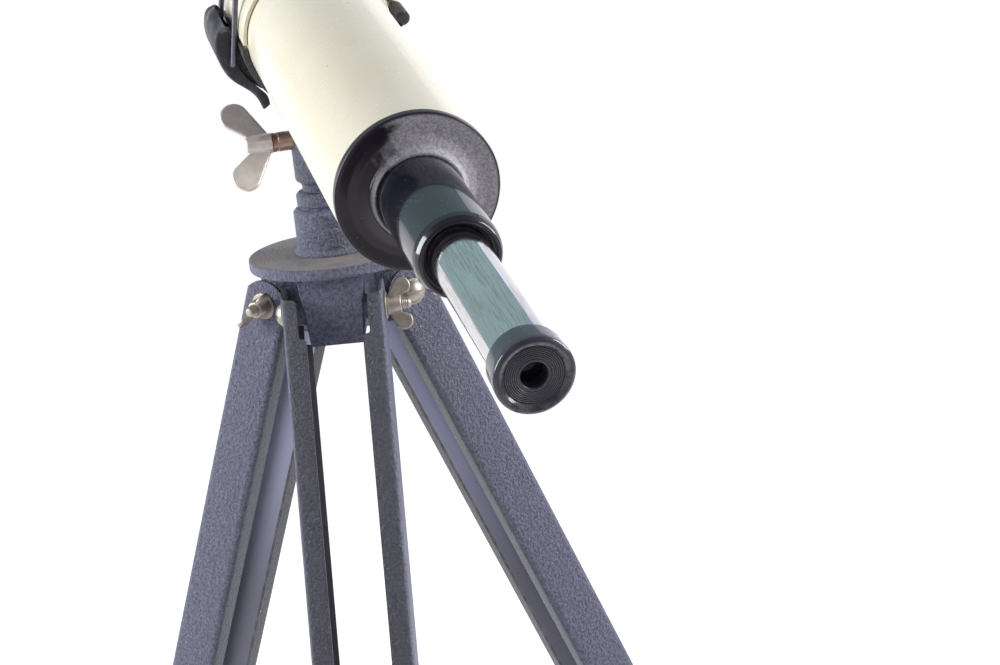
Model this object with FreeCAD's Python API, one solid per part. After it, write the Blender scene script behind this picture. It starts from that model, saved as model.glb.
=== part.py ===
"""Refractor telescope on a tripod, as separate named pieces. Millimetres, +Z up.

The origin is on the floor, below the tripod's vertical (pan) axis. At rest the legs are spread
and the telescope's eyepiece end points towards -Y, a little to +X, and slightly down.
"""
import FreeCAD
import Part
import os
from math import atan2, cos, degrees, pi, radians, sin, sqrt

V = FreeCAD.Vector
X = V(1, 0, 0)
Y = V(0, 1, 0)
Z = V(0, 0, 1)
EPS = 0.02

# ---- driving dimensions -------------------------------------------------------------------
# telescope, with stations along its axis measured from above the tilt pivot, + to the objective
tube_r = 30.0
tube_wall = 1.2
tube_back = -198.0
tube_front = 330.0
cap_face = -201.5
cap_plug = 10.0
boss_r = 16.9
boss_end = -205.4
focus_r = 15.5
focus_wall = 1.0
focus_inner_end = -150.0
collar_back = -254.0
collar_face = -261.0
eye_tube_r = 10.5
eye_tube_wall = 0.8
eye_tube_inner_end = -215.0
head_r = 12.9
head_back = -337.5
head_face = -348.5
eye_hole_r = 4.3
dew_r = 34.2
dew_wall = 1.2
dew_front = 440.0
objective_r = 27.0

# attitude of the telescope on the tripod at rest
elevation = 11.8
pan = 8.9

# head of the tripod, heights measured from the top of the disc
disc_r = 38.1
disc_t = 5.35
post_r = 15.6
post_top = 27.6
spindle_r = 7.5
yoke_r = 12.8
tilt_height = 51.4
slot_half = 5.7
tongue_half = 5.5
tilt_bolt_r = 3.0
axis_rise = 54.0

# legs, each of two channel rails, with a sliding extension between them
leg_angle = -5.93
leg_splay = 21.8
pivot_out = 25.8
pivot_drop = 21.6
leg_half = 22.2
rail_depth = 23.3
rail_flange = 9.8
sheet_t = 1.2
rail_bend = 3.0
rail_length = 520.0
foot_reach = 832.0
extension_top = 360.0
extension_end = 826.0
leg_bolt_r = 2.5
clamp_drop = 506.0
clamp_back = 6.6
running = 0.05

# cradle, in the plane across the tube: x to the right seen from the eyepiece, z up, from the
# tube's axis; stations as for the telescope
liner_t = 1.0
band_t = 1.6
strap_t = 0.8
cradle_back = -22.0
cradle_front = 34.0
lever_back = -8.0
lever_front = 24.0
lever_pivot = (-37.2, 0.0)
bail_pivot = (-35.5, -12.7)
bail_top = (-31.0, 21.0)
wire_r = 1.2
hinge_at = (37.0, 2.0)
hinge_r = 3.3

pivot_z = foot_reach * cos(radians(leg_splay))
hub_top = pivot_z + pivot_drop
liner_in = tube_r + 0.15
liner_out = liner_in + liner_t
band_out = liner_out + band_t
strap_out = liner_out + strap_t

LEGS = (("front_leg", 0), ("right_leg", 1), ("left_leg", 2))


# ---- helpers ------------------------------------------------------------------------------
def rod(radius, start, end):
    """Solid cylinder between two points."""
    start = V(*start)
    end = V(*end)
    return Part.makeCylinder(radius, (end - start).Length, start, end - start)


def box(x0, x1, y0, y1, z0, z1):
    return Part.makeBox(x1 - x0, y1 - y0, z1 - z0, V(x0, y0, z0))


def turned(profile, centre_z=0.0):
    """Solid of revolution about the tube's axis, from a closed (radius, station) outline."""
    points = [V(radius, station, centre_z) for radius, station in profile]
    face = Part.Face(Part.makePolygon(points + points[:1]))
    return face.revolve(V(0, 0, centre_z), Y, 360)


def turned_up(profile):
    """Solid of revolution about the vertical axis, from a closed (radius, height) outline."""
    points = [V(radius, 0, height) for radius, height in profile]
    face = Part.Face(Part.makePolygon(points + points[:1]))
    return face.revolve(V(0, 0, 0), Z, 360)


def ring(outer, inner, start, end):
    """Plain ring along the telescope's axis, with small chamfers on its outer edges."""
    edge = min(0.3, 0.25 * (outer - inner), 0.25 * (end - start))
    outline = [(inner, start), (outer - edge, start), (outer, start + edge),
               (outer, end - edge), (outer - edge, end), (inner, end)]
    return turned(outline, axis_rise)


def plate(outline, start, end, offset_z=0.0):
    """Plate with an outline across the tube, (x, z) points, from one station to another."""
    points = [V(x, start, z + offset_z) for x, z in outline]
    return Part.Face(Part.makePolygon(points + points[:1])).extrude(V(0, end - start, 0))


def rounded(shape, radius, pick):
    """Fillet the edges that pick() accepts."""
    edges = [edge for edge in shape.Edges if pick(edge)]
    return shape.makeFillet(radius, edges)


def place_telescope(shape):
    """From the telescope's own frame, with the tilt pivot at its origin, to the floor's."""
    placed = shape.copy()
    placed.rotate(V(0, 0, 0), X, elevation)
    placed.rotate(V(0, 0, 0), Z, pan)
    placed.translate(V(0, 0, hub_top + tilt_height))
    return placed


def place_head(shape):
    placed = shape.copy()
    placed.rotate(V(0, 0, 0), Z, pan)
    placed.translate(V(0, 0, hub_top))
    return placed


def place_hub(shape):
    placed = shape.copy()
    placed.translate(V(0, 0, hub_top))
    return placed


def place_leg(shape, index):
    """From a leg's frame, pivot at the origin, leg along -Z, outer side -Y, to the floor's."""
    placed = shape.copy()
    placed.rotate(V(0, 0, 0), X, -leg_splay)
    placed.translate(V(0, -pivot_out, pivot_z))
    placed.rotate(V(0, 0, 0), Z, leg_angle + 120.0 * index)
    return placed


# ---- fasteners ----------------------------------------------------------------------------
def ear(hub_r, hub_length, tip, tip_r, thickness):
    """One wing of a wing nut, in the XZ plane: a leaf from the hub's side to a round tip."""
    lean = atan2(tip[1] - 0.4 * hub_r, tip[0] - 0.45 * hub_length)
    steps = 16
    arc = []
    for step in range(steps + 1):
        angle = lean + radians(100 - 200.0 * step / steps)
        arc.append((tip[0] + tip_r * cos(angle), tip[1] + tip_r * sin(angle)))
    outline = [(0.9 * hub_length, 0.0), (0.04 * hub_length, 0.0), (0.04 * hub_length, 0.8 * hub_r)]
    outline += arc
    outline.append((0.9 * hub_length, 0.75 * hub_r))
    points = [V(x, 0, z) for x, z in outline]
    leaf = Part.Face(Part.makePolygon(points + points[:1])).extrude(V(0, thickness, 0))
    leaf.translate(V(0, -0.5 * thickness, 0))
    return leaf


def winged_hub(hub_r, hub_length, tip, tip_r, thickness):
    """Hub along +X from the origin, with two leaves that lean outwards."""
    hub = Part.makeCone(hub_r, 0.8 * hub_r, hub_length, V(0, 0, 0), X)
    upper = ear(hub_r, hub_length, tip, tip_r, thickness)
    lower = upper.copy()
    lower.rotate(V(0, 0, 0), X, 180)
    return hub.fuse([upper, lower]).removeSplitter()


def wing_nut(turn):
    """Wing nut for a leg bolt, seated at the origin, bored for the bolt."""
    nut = winged_hub(4.4, 6.4, (6.9, 7.7), 3.9, 1.9)
    nut = nut.cut(rod(leg_bolt_r + running, (-1, 0, 0), (20, 0, 0)))
    nut.rotate(V(0, 0, 0), X, turn)
    return nut


def leg_bolt():
    """Slotted dome-headed bolt through both rails, its head on the -X side."""
    head_r = 5.2
    head_rise = 3.0
    sphere_r = (head_r ** 2 + head_rise ** 2) / (2 * head_rise)
    seat = -leg_half - 1.0
    dome = Part.makeSphere(sphere_r, V(seat - head_rise + sphere_r, 0, 0))
    dome = dome.common(rod(head_r, (seat - head_rise - 1, 0, 0), (seat, 0, 0)))
    slot = box(seat - head_rise - 1, seat - head_rise + 1.3, -head_r, head_r, -0.6, 0.6)
    dome = dome.cut(slot)
    shank = rod(leg_bolt_r, (seat - 0.5, 0, 0), (leg_half + 11.5, 0, 0))
    return dome.fuse(shank).removeSplitter()


def washer(x0):
    disc = rod(6.0, (x0, 0, 0), (x0 + 1.0, 0, 0))
    return disc.cut(rod(leg_bolt_r + running, (x0 - 1, 0, 0), (x0 + 2, 0, 0)))


# ---- legs ---------------------------------------------------------------------------------
def channel(half, depth_front, depth_back, lip, thick, bend, z0, z1):
    """Folded channel with its web on the +X side, open towards -X."""
    inner = half - thick
    outline = Part.makePolygon([V(half - lip, -depth_front, z0), V(half, -depth_front, z0),
                                V(half, depth_back, z0), V(half - lip, depth_back, z0),
                                V(half - lip, -depth_front, z0)])
    outer = Part.Face(outline).extrude(V(0, 0, z1 - z0))
    outer = rounded(outer, bend, lambda e: vertical_at(e, half))
    pocket = box(half - lip - 1, inner, -depth_front + thick, depth_back - thick, z0 - 1, z1 + 1)
    pocket = rounded(pocket, bend - thick, lambda e: vertical_at(e, inner))
    return outer.cut(pocket)


def vertical_at(edge, x):
    first = edge.Vertexes[0].Point
    last = edge.Vertexes[-1].Point
    return abs(first.x - x) < EPS and abs(last.x - x) < EPS and abs(first.z - last.z) > 1


def upright_at(edge, y):
    first = edge.Vertexes[0].Point
    last = edge.Vertexes[-1].Point
    return abs(first.y - y) < EPS and abs(last.y - y) < EPS and abs(first.z - last.z) > 1


def leg_rail(side):
    """Pressed rail; its flanges are cut back near the top and its web ends in a half round."""
    half_depth = rail_depth / 2
    flange_top = 4.5
    shoulder = -13.0
    narrow = 6.6
    rail = channel(leg_half, half_depth, half_depth, rail_flange, sheet_t, rail_bend,
                   -rail_length, half_depth)
    web_in = leg_half - sheet_t
    rail = rail.cut(box(0, leg_half - narrow, -30, 30, shoulder, 60))
    rail = rail.cut(box(0, web_in, -30, 30, flange_top, 60))
    above = box(0, 60, -30, 30, flange_top, 60)
    crown = rod(half_depth, (0, 0, 0), (60, 0, 0))
    rail = rail.cut(above.cut(crown))
    holes = [rod(leg_bolt_r + running, (0, 0, 0), (60, 0, 0)),
             rod(leg_bolt_r + running, (0, clamp_back, -clamp_drop), (60, clamp_back, -clamp_drop))]
    rail = rail.cut(holes)
    if side < 0:
        rail = rail.mirror(V(0, 0, 0), X)
    return rail


def leg_extension():
    """Lower leg: a channel that slides between the rails, open at its back."""
    half = leg_half - sheet_t - 0.25
    front = rail_depth / 2 - sheet_t - 0.25
    back = 3.0
    body = box(-half, half, -front, back, -extension_end, -extension_top)
    body = rounded(body, rail_bend - sheet_t + 0.4, lambda e: upright_at(e, -front))
    hollow = box(-half + sheet_t, half - sheet_t, -front + sheet_t, back + 1,
                 -extension_end - 1, -extension_top + 1)
    return body.cut(hollow)


def leg_foot(index):
    """Rubber shoe on the end of the lower leg, cut flat where it stands on the floor."""
    half = leg_half - sheet_t - 0.25
    front = rail_depth / 2 - sheet_t - 0.25
    wall = 2.6
    shoe = box(-half - wall, half + wall, -front - wall, 3.0 + wall + 2.0,
               -foot_reach - 30, -extension_end + 16)
    shoe = rounded(shoe, 2.2, lambda e: abs(e.Vertexes[0].Point.z - e.Vertexes[-1].Point.z) > 1)
    socket = box(-half, half, -front, 3.0, -extension_end, -extension_end + 40)
    core = box(-half + sheet_t, half - sheet_t, -front + sheet_t, 3.0, -extension_end,
               -extension_end + 10)
    shoe = place_leg(shoe.cut(socket).fuse(core), index)
    return shoe.cut(box(-1500, 1500, -1500, 1500, -300, 0))


def leg_fasteners():
    upper = leg_bolt()
    lower = leg_bolt()
    lower.translate(V(0, clamp_back, -clamp_drop))
    pieces = [upper, lower]
    for x0 in (-leg_half - 1.0, leg_half):
        pieces.append(washer(x0))
        low = washer(x0)
        low.translate(V(0, clamp_back, -clamp_drop))
        pieces.append(low)
    return Part.makeCompound(pieces)


def leg_parts():
    parts = {}
    pivot_turn = {"front_leg": 6.0, "right_leg": 20.0, "left_leg": 155.0}
    for name, index in LEGS:
        parts[name + "_rail_left"] = place_leg(leg_rail(-1), index)
        parts[name + "_rail_right"] = place_leg(leg_rail(1), index)
        parts[name + "_bolts"] = place_leg(leg_fasteners(), index)
        nut = wing_nut(pivot_turn[name])
        nut.translate(V(leg_half + 1.0, 0, 0))
        parts[name + "_pivot_nut"] = place_leg(nut, index)
        clamp = wing_nut(90.0)
        clamp.translate(V(leg_half + 1.0, clamp_back, -clamp_drop))
        parts[name + "_clamp_nut"] = place_leg(clamp, index)
        parts[name + "_extension"] = place_leg(leg_extension(), index)
        parts[name + "_foot"] = leg_foot(index)
    return parts


# ---- head ---------------------------------------------------------------------------------
def hub_lug():
    """Trapezoid block under the disc that carries one leg, with a boss at each rail."""
    top = -disc_t + 0.5
    bottom = -36.0
    front = pivot_out + 6.2
    face = Part.makePolygon([V(-14.6, -front, top), V(14.6, -front, top), V(11.5, -front, bottom),
                             V(-11.5, -front, bottom), V(-14.6, -front, top)])
    block = Part.Face(face).extrude(V(0, front - 10.0, 0))
    inner_face = leg_half - sheet_t
    boss = rod(5.6, (-inner_face, -pivot_out, -pivot_drop), (inner_face, -pivot_out, -pivot_drop))
    bore = rod(leg_bolt_r + running, (-60, -pivot_out, -pivot_drop), (60, -pivot_out, -pivot_drop))
    return block.fuse(boss), bore


def tripod_hub():
    """Casting: flat disc, central core and three lugs."""
    edge = 0.6
    disc = turned_up([(0, 0), (disc_r - edge, 0), (disc_r, -edge), (disc_r, -disc_t + edge),
                      (disc_r - edge, -disc_t), (0, -disc_t)])
    core = rod(18.0, (0, 0, -34), (0, 0, -1))
    bores = []
    solids = [core]
    for _, index in LEGS:
        block, bore = hub_lug()
        for piece in (block, bore):
            piece.rotate(V(0, 0, 0), Z, leg_angle + 120.0 * index)
        solids.append(block)
        bores.append(bore)
    hub = disc.fuse(solids)
    bores.append(rod(11.0, (0, 0, -50), (0, 0, 10)))
    bores.append(rod(13.5, (0, 0, -50), (0, 0, -13)))
    return place_hub(hub.cut(bores).removeSplitter())


def azimuth_post():
    """Turned post on the disc, with a waisted ring that the yoke turns on."""
    bore = spindle_r + running
    outline = [(bore, -13), (11.0, -13), (11.0, 0), (17.0, 0), (17.0, 1.2), (16.3, 2.2), (post_r, 3.4),
               (post_r, 18.6), (14.8, 20.0), (12.5, 20.4), (12.5, 21.3), (13.2, 21.7),
               (13.4, 22.6), (13.4, 26.2), (12.9, 27.2), (12.0, post_top), (bore, post_top)]
    return place_hub(turned_up(outline))


def yoke():
    """Fork that turns on the post and holds the cradle's tongue."""
    neck = post_top + 0.2
    top = tilt_height + 9.5
    outline = [(0, -13.3), (spindle_r, -13.3), (spindle_r, neck), (10.2, neck), (10.2, 30.6), (11.0, 31.8),
               (12.2, 32.6), (yoke_r, 33.6), (yoke_r, top), (0, top)]
    body = turned_up(outline)
    crown = rod(11.5, (-30, 0, tilt_height - 0.5), (30, 0, tilt_height - 0.5))
    above = box(-30, 30, -30, 30, tilt_height - 0.5, tilt_height + 40)
    body = body.cut(above.cut(crown))
    slot = box(-slot_half, slot_half, -30, 30, tilt_height - 13.0, tilt_height + 40)
    cross = rod(tilt_bolt_r + running, (-30, 0, tilt_height), (30, 0, tilt_height))
    thread = rod(2.5, (0, 0, -20), (0, 0, 6))
    return place_head(body.cut([slot, cross, thread]))


def pan_screw():
    """Hex screw that holds the yoke down from below, and its washer."""
    seat = -14.9
    head = hexagon(5.0, seat - 4.0, seat)
    return place_head(head.fuse(rod(2.5, (0, 0, seat - 1), (0, 0, 6))))


def pan_washer():
    disc = rod(9.8, (0, 0, -14.9), (0, 0, -13.3))
    return place_head(disc.cut(rod(2.6, (0, 0, -20), (0, 0, 0))))


def hexagon(across, z0, z1):
    points = [V(across * cos(pi / 3 * k), across * sin(pi / 3 * k), z0) for k in range(6)]
    return Part.Face(Part.makePolygon(points + points[:1])).extrude(V(0, 0, z1 - z0))


def tilt_wing_bolt():
    """Wing bolt along -X that clamps the tongue in the yoke."""
    hub_at = -21.2
    body = winged_hub(4.6, 11.6, (13.9, 14.6), 6.5, 2.6)
    body.rotate(V(0, 0, 0), Z, 180)
    body.rotate(V(0, 0, 0), X, -34)
    body.translate(V(hub_at, 0, 0))
    shank = rod(tilt_bolt_r, (hub_at - 1, 0, 0), (yoke_r + 7.0, 0, 0))
    return place_tilt(body.fuse(shank).removeSplitter())


def place_tilt(shape):
    placed = shape.copy()
    placed.translate(V(0, 0, tilt_height))
    return place_head(placed)


def tilt_ferrule():
    tube = rod(4.3, (-21.2, 0, 0), (-12.0, 0, 0))
    tube = tube.cut(rod(tilt_bolt_r + running, (-30, 0, 0), (0, 0, 0)))
    seat = Part.makeCylinder(yoke_r, 60, V(0, 0, -30), Z)
    return place_tilt(tube.cut(seat))


def tilt_nut():
    """Hex nut on the far end of the wing bolt, seated against the yoke's round side."""
    nut = hexagon(5.8, 0, 5.4)
    nut.rotate(V(0, 0, 0), Y, 90)
    nut.translate(V(11.6, 0, 0))
    seat = Part.makeCylinder(yoke_r, 60, V(0, 0, -30), Z)
    return place_tilt(nut.cut([seat, rod(tilt_bolt_r + running, (0, 0, 0), (40, 0, 0))]))


# ---- cradle -------------------------------------------------------------------------------
def shell(inner, outer, start_angle, end_angle, back, front):
    """Part of a tube round the telescope; angles from +X, anticlockwise towards +Z."""
    sweep = end_angle - start_angle
    face = Part.Face(Part.makePolygon([V(inner, back, 0), V(outer, back, 0), V(outer, front, 0),
                                       V(inner, front, 0), V(inner, back, 0)]))
    solid = face.revolve(V(0, 0, 0), Y, -sweep)
    solid.rotate(V(0, 0, 0), Y, -start_angle)
    solid.translate(V(0, 0, axis_rise))
    return solid


def radial_rod(radius, angle, inner, outer, station):
    direction = V(cos(radians(angle)), 0, sin(radians(angle)))
    start = V(0, station, axis_rise) + direction * inner
    return Part.makeCylinder(radius, outer - inner, start, direction)


RIVETS = [(angle, station) for angle in (250, 290) for station in (-8.0, 20.0)]


def cradle_bracket():
    """Tongue that hangs in the yoke, with a pad that follows the band above it."""
    foot = 11.0
    outline = [V(0, -foot, 0), V(0, -15.0, 17.0), V(0, -16.0, 24.0), V(0, 28.0, 24.0),
               V(0, 27.0, 17.0), V(0, foot, 0)]
    face = Part.Face(Part.makePolygon(outline + outline[:1]))
    tongue = face.extrude(V(2 * tongue_half, 0, 0))
    tongue.translate(V(-tongue_half, 0, 0))
    tongue = tongue.fuse(rod(foot, (-tongue_half, 0, 0), (tongue_half, 0, 0)))
    tongue = tongue.cut(Part.makeCylinder(band_out, 200, V(0, -100, axis_rise), Y))
    pad = shell(band_out, band_out + 2.6, 240, 300, -16.0, 28.0)
    holes = [rod(tilt_bolt_r + running, (-30, 0, 0), (30, 0, 0))]
    for angle, station in RIVETS:
        holes.append(radial_rod(1.8, angle, 30, 40, station))
    return place_telescope(tongue.fuse(pad).cut(holes).removeSplitter())


def lever_ear(y0, y1):
    """Gusset on the band that carries the latch lever's pin."""
    x, z = lever_pivot
    root = -band_out + 1.0
    block = plate([(root, -6.2), (root, -8.0), (-22.5, -23.0), (-23.5, -26.4), (-28.4, -22.2),
                   (-32.8, -15.0), (-36.2, -9.0), (x - 1.9, z - 2.2), (x + 2.3, z + 1.7)],
                  y0, y1, axis_rise)
    eye = rod(2.9, (x, y0, z + axis_rise), (x, y1, z + axis_rise))
    return block.fuse(eye)


def hinge_eye(y0, y1, inner, side):
    """Hinge barrel and the curled end that joins it to a band."""
    x, z = hinge_at
    reach = plate([(inner + 0.3, z + side * 1.2), (x, z + side * hinge_r), (x, z - side * 0.5),
                   (inner + 0.3, z + side * 6.0)], y0, y1, axis_rise)
    barrel = rod(hinge_r, (x, y0, z + axis_rise), (x, y1, z + axis_rise))
    return barrel.fuse(reach)


def saddle_band():
    """Lower half of the cradle, with the latch ears on the left and hinge eyes on the right."""
    band = shell(liner_out, band_out, 184, 356, cradle_back, cradle_front)
    pieces = [lever_ear(lever_back + 1.5, lever_back + 3.9),
              lever_ear(lever_front - 3.9, lever_front - 1.5),
              hinge_eye(cradle_back + 1.0, -7.0, liner_out, -1),
              hinge_eye(19.0, cradle_front - 1.0, liner_out, -1)]
    band = band.fuse(pieces)
    band = band.cut(Part.makeCylinder(liner_out, 200, V(0, -100, axis_rise), Y))
    x, z = lever_pivot
    hx, hz = hinge_at
    holes = [rod(1.5, (x, -60, z + axis_rise), (x, 60, z + axis_rise)),
             rod(1.5, (hx, -60, hz + axis_rise), (hx, 60, hz + axis_rise))]
    for angle, station in RIVETS:
        holes.append(radial_rod(1.8, angle, 30, 40, station))
    return place_telescope(band.cut(holes).removeSplitter())


def saddle_rivets():
    pieces = []
    for angle, station in RIVETS:
        shank = radial_rod(1.8, angle, liner_out + 0.1, band_out + 2.6, station)
        head = radial_rod(3.2, angle, band_out + 2.6, band_out + 3.8, station)
        pieces.append(place_telescope(shank.fuse(head)))
    return Part.makeCompound(pieces)


def strap():
    """Upper half of the cradle, hinged on the right."""
    band = shell(liner_out, strap_out, 9, 180.5, cradle_back, cradle_front)
    eye = hinge_eye(-6.6, 18.6, liner_out, 1)
    band = band.fuse(eye).cut(Part.makeCylinder(liner_out, 200, V(0, -100, axis_rise), Y))
    hx, hz = hinge_at
    return place_telescope(band.cut(rod(1.5 + running, (hx, -60, hz + axis_rise),
                                        (hx, 60, hz + axis_rise))).removeSplitter())


def strap_hook():
    """Pressed hook on the strap that the bail's bar rests in."""
    angle = 180 - degrees(atan2(bail_top[1], -bail_top[0]))
    back = lever_back + 1.8
    front = lever_front - 1.8
    base = shell(strap_out, strap_out + 1.0, angle - 18, angle + 4, back, front)
    x, z = bail_top
    seat = z - wire_r - 0.26
    slope = 0.14
    lip_t = 1.2
    end = x - 2.2
    lip = plate([(x + 7.0, seat + 7.0 * slope), (end, seat - 2.2 * slope),
                 (end, seat - 2.2 * slope - lip_t), (x + 5.6, seat + 5.6 * slope - lip_t)],
                back, front, axis_rise)
    hook = base.fuse(lip).cut(Part.makeCylinder(strap_out, 200, V(0, -100, axis_rise), Y))
    return place_telescope(hook.removeSplitter())


def liner(start_angle, end_angle):
    return place_telescope(shell(liner_in, liner_out, start_angle, end_angle,
                                 cradle_back - 0.6, cradle_front + 0.6))


def pin_with_heads(centre, back, front, head_t):
    """Pin along the tube's direction with a peened head at each end."""
    x, z = centre
    z += axis_rise
    shank = rod(1.5, (x, back, z), (x, front, z))
    heads = [rod(2.1, (x, back - head_t, z), (x, back, z)),
             rod(2.1, (x, front, z), (x, front + head_t, z))]
    return place_telescope(shank.fuse(heads))


LEVER_BACK_LINE = [(-37.2, 4.6), (-40.4, 3.0), (-41.9, -0.8), (-42.2, -5.5), (-41.2, -11.0),
                   (-38.8, -16.8), (-35.8, -20.8), (-32.2, -23.8), (-28.6, -26.9), (-26.0, -30.6),
                   (-24.2, -35.2)]
LEVER_INNER_LINE = [(-21.2, -33.0), (-22.0, -29.0), (-25.2, -25.2), (-30.6, -18.8), (-34.6, -10.4),
                    (-35.2, -4.0), (-34.4, 1.6), (-35.2, 3.6)]


def spline_face(points, station):
    """Face across the tube between two smooth lines, closed by a straight edge at each end."""
    back = [V(x, station, z + axis_rise) for x, z in points[0]]
    inner = [V(x, station, z + axis_rise) for x, z in points[1]]
    curve = Part.BSplineCurve()
    curve.interpolate(back)
    inner_curve = Part.BSplineCurve()
    inner_curve.interpolate(inner)
    edges = [curve.toShape(), Part.makeLine(back[-1], inner[0]), inner_curve.toShape(),
             Part.makeLine(inner[-1], back[0])]
    return Part.Face(Part.Wire(edges))


def inset(points, distance):
    """Move a polyline to its left by a distance, point by point."""
    moved = []
    for index, (x, z) in enumerate(points):
        before = points[max(index - 1, 0)]
        after = points[min(index + 1, len(points) - 1)]
        dx = after[0] - before[0]
        dz = after[1] - before[1]
        size = sqrt(dx * dx + dz * dz)
        moved.append((x - distance * dz / size, z + distance * dx / size))
    return moved


def latch_lever():
    """Pressed channel lever: its web runs down the back, its flanges carry the two pivots."""
    solid = spline_face((LEVER_BACK_LINE, LEVER_INNER_LINE), lever_back)
    solid = solid.extrude(V(0, lever_front - lever_back, 0))
    inner_back = inset(LEVER_BACK_LINE[:-1], sheet_t)
    hollow_side = [(-20.0, -27.0), (-24.0, -18.0), (-29.0, -6.0), (-30.0, 6.0), (-34.0, 9.0)]
    hollow = spline_face((inner_back, hollow_side), lever_back + sheet_t)
    hollow = hollow.extrude(V(0, lever_front - lever_back - 2 * sheet_t, 0))
    x, z = lever_pivot
    bx, bz = bail_pivot
    holes = [rod(1.5 + running, (x, -60, z + axis_rise), (x, 60, z + axis_rise)),
             rod(wire_r + running, (bx, -60, bz + axis_rise), (bx, 60, bz + axis_rise))]
    return place_telescope(solid.cut([hollow] + holes))


def bail():
    """Wire loop: its ends turn into the lever's flanges and its bar lies in the strap's hook."""
    gap = 0.35
    back = lever_back - wire_r - gap
    front = lever_front + wire_r + gap
    low = V(bail_pivot[0], 0, bail_pivot[1] + axis_rise)
    high = V(bail_top[0], 0, bail_top[1] + axis_rise)
    inside = sheet_t + gap + wire_r
    corner = 2.6
    points = [low + Y * (back + inside), low + Y * back, high + Y * back, high + Y * front,
              low + Y * front, low + Y * (front - inside)]
    edges = []
    start = points[0]
    for index in range(1, len(points) - 1):
        radius = 1.25 if index in (1, 4) else corner
        into = (points[index - 1] - points[index]).normalize()
        out = (points[index + 1] - points[index]).normalize()
        tangent_in = points[index] + into * radius
        tangent_out = points[index] + out * radius
        middle = points[index] + (into + out) * radius * (1 - sqrt(0.5))
        if (tangent_in - start).Length > EPS:
            edges.append(Part.makeLine(start, tangent_in))
        edges.append(Part.Arc(tangent_in, middle, tangent_out).toShape())
        start = tangent_out
    if (points[-1] - start).Length > EPS:
        edges.append(Part.makeLine(start, points[-1]))
    path = Part.Wire(edges)
    circle = Part.Wire([Part.makeCircle(wire_r, points[0], Y)])
    return place_telescope(path.makePipeShell([circle], True, False))


# ---- telescope ----------------------------------------------------------------------------
def optical(outline):
    return place_telescope(turned(outline, axis_rise))


def plain_ring(outer, inner, start, end):
    return place_telescope(ring(outer, inner, start, end))


def lens(radius, back, front, back_bulge, front_bulge):
    """Lens between two stations at its flat rim; each face bulges outwards inside the rim."""
    steps = 6
    clear = 0.93 * radius
    points = [(0.0, back - back_bulge)]
    for step in range(1, steps + 1):
        share = step / steps
        points.append((clear * share, back - back_bulge * (1 - share ** 2)))
    points += [(radius, back), (radius, front)]
    for step in range(steps, 0, -1):
        share = step / steps
        points.append((clear * share, front + front_bulge * (1 - share ** 2)))
    points.append((0.0, front + front_bulge))
    return optical(points)


def rear_cap():
    """Moulded end cap: a plug in the tube, a dished face and a boss round the draw tube."""
    bore = focus_r + running
    inside = tube_r - tube_wall
    rim = tube_r + 0.15
    return optical([(bore, tube_back + cap_plug), (inside, tube_back + cap_plug),
                    (inside, tube_back), (rim, tube_back), (rim, cap_face + 1.0),
                    (rim - 0.4, cap_face + 0.3), (rim - 1.2, cap_face), (rim - 2.4, cap_face + 0.2),
                    (rim - 3.4, cap_face + 1.0), (boss_r + 4.6, cap_face + 1.0),
                    (boss_r + 2.6, cap_face + 0.4), (boss_r + 1.0, cap_face - 1.0),
                    (boss_r + 0.2, cap_face - 3.0), (boss_r - 0.3, boss_end + 1.2),
                    (boss_r - 1.2, boss_end), (bore, boss_end)])


def collar_ring():
    """Rounded mouth of the draw tube, dished inside and bored for the eyepiece tube."""
    bore = eye_tube_r + running
    inside = focus_r - focus_wall
    face = collar_face
    return optical([(bore, face + 4.6), (11.3, face + 4.2), (12.0, face + 2.4), (12.8, face + 1.6),
                    (13.1, face + 0.2), (13.6, face), (14.3, face + 0.5), (15.1, face + 2.2),
                    (focus_r, face + 4.4), (focus_r, collar_back), (inside, collar_back),
                    (inside, collar_back + 12.0), (bore, collar_back + 12.0)])


def focus_tube():
    return plain_ring(focus_r, focus_r - focus_wall, collar_back, focus_inner_end)


def eyepiece_head():
    """Eyepiece head with a dished, ridged face and the eye hole."""
    plug = eye_tube_r - eye_tube_wall
    ridges = 6
    ridge_outer = 9.4
    ridge_inner = 5.6
    recess = head_face + 1.5
    outline = [(7.0, head_back + 6.0), (plug, head_back + 6.0), (plug, head_back),
               (head_r - 0.9, head_back), (head_r - 0.3, head_back - 0.5),
               (head_r - 0.3, head_face + 3.6), (head_r, head_face + 2.8),
               (head_r - 0.1, head_face + 1.2), (head_r - 0.6, head_face + 0.3),
               (head_r - 1.4, head_face), (head_r - 2.2, head_face + 0.3),
               (ridge_outer + 0.3, head_face + 1.2), (ridge_outer + 0.1, recess)]
    pitch = (ridge_outer - ridge_inner) / ridges
    for index in range(ridges):
        radius = ridge_outer - index * pitch
        outline += [(radius, recess), (radius - 0.5 * pitch, recess - 0.4)]
    outline += [(ridge_inner, recess), (eye_hole_r + 0.9, recess - 0.3),
                (eye_hole_r + 0.3, recess - 0.3), (eye_hole_r, recess),
                (eye_hole_r, head_back - 4.0), (7.0, head_back - 4.0)]
    return optical(outline)


def light_baffles():
    inside = tube_r - tube_wall
    return Part.makeCompound([plain_ring(inside, 22.0, station, station + 1.0)
                              for station in (-60.0, 60.0, 180.0)])


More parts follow.
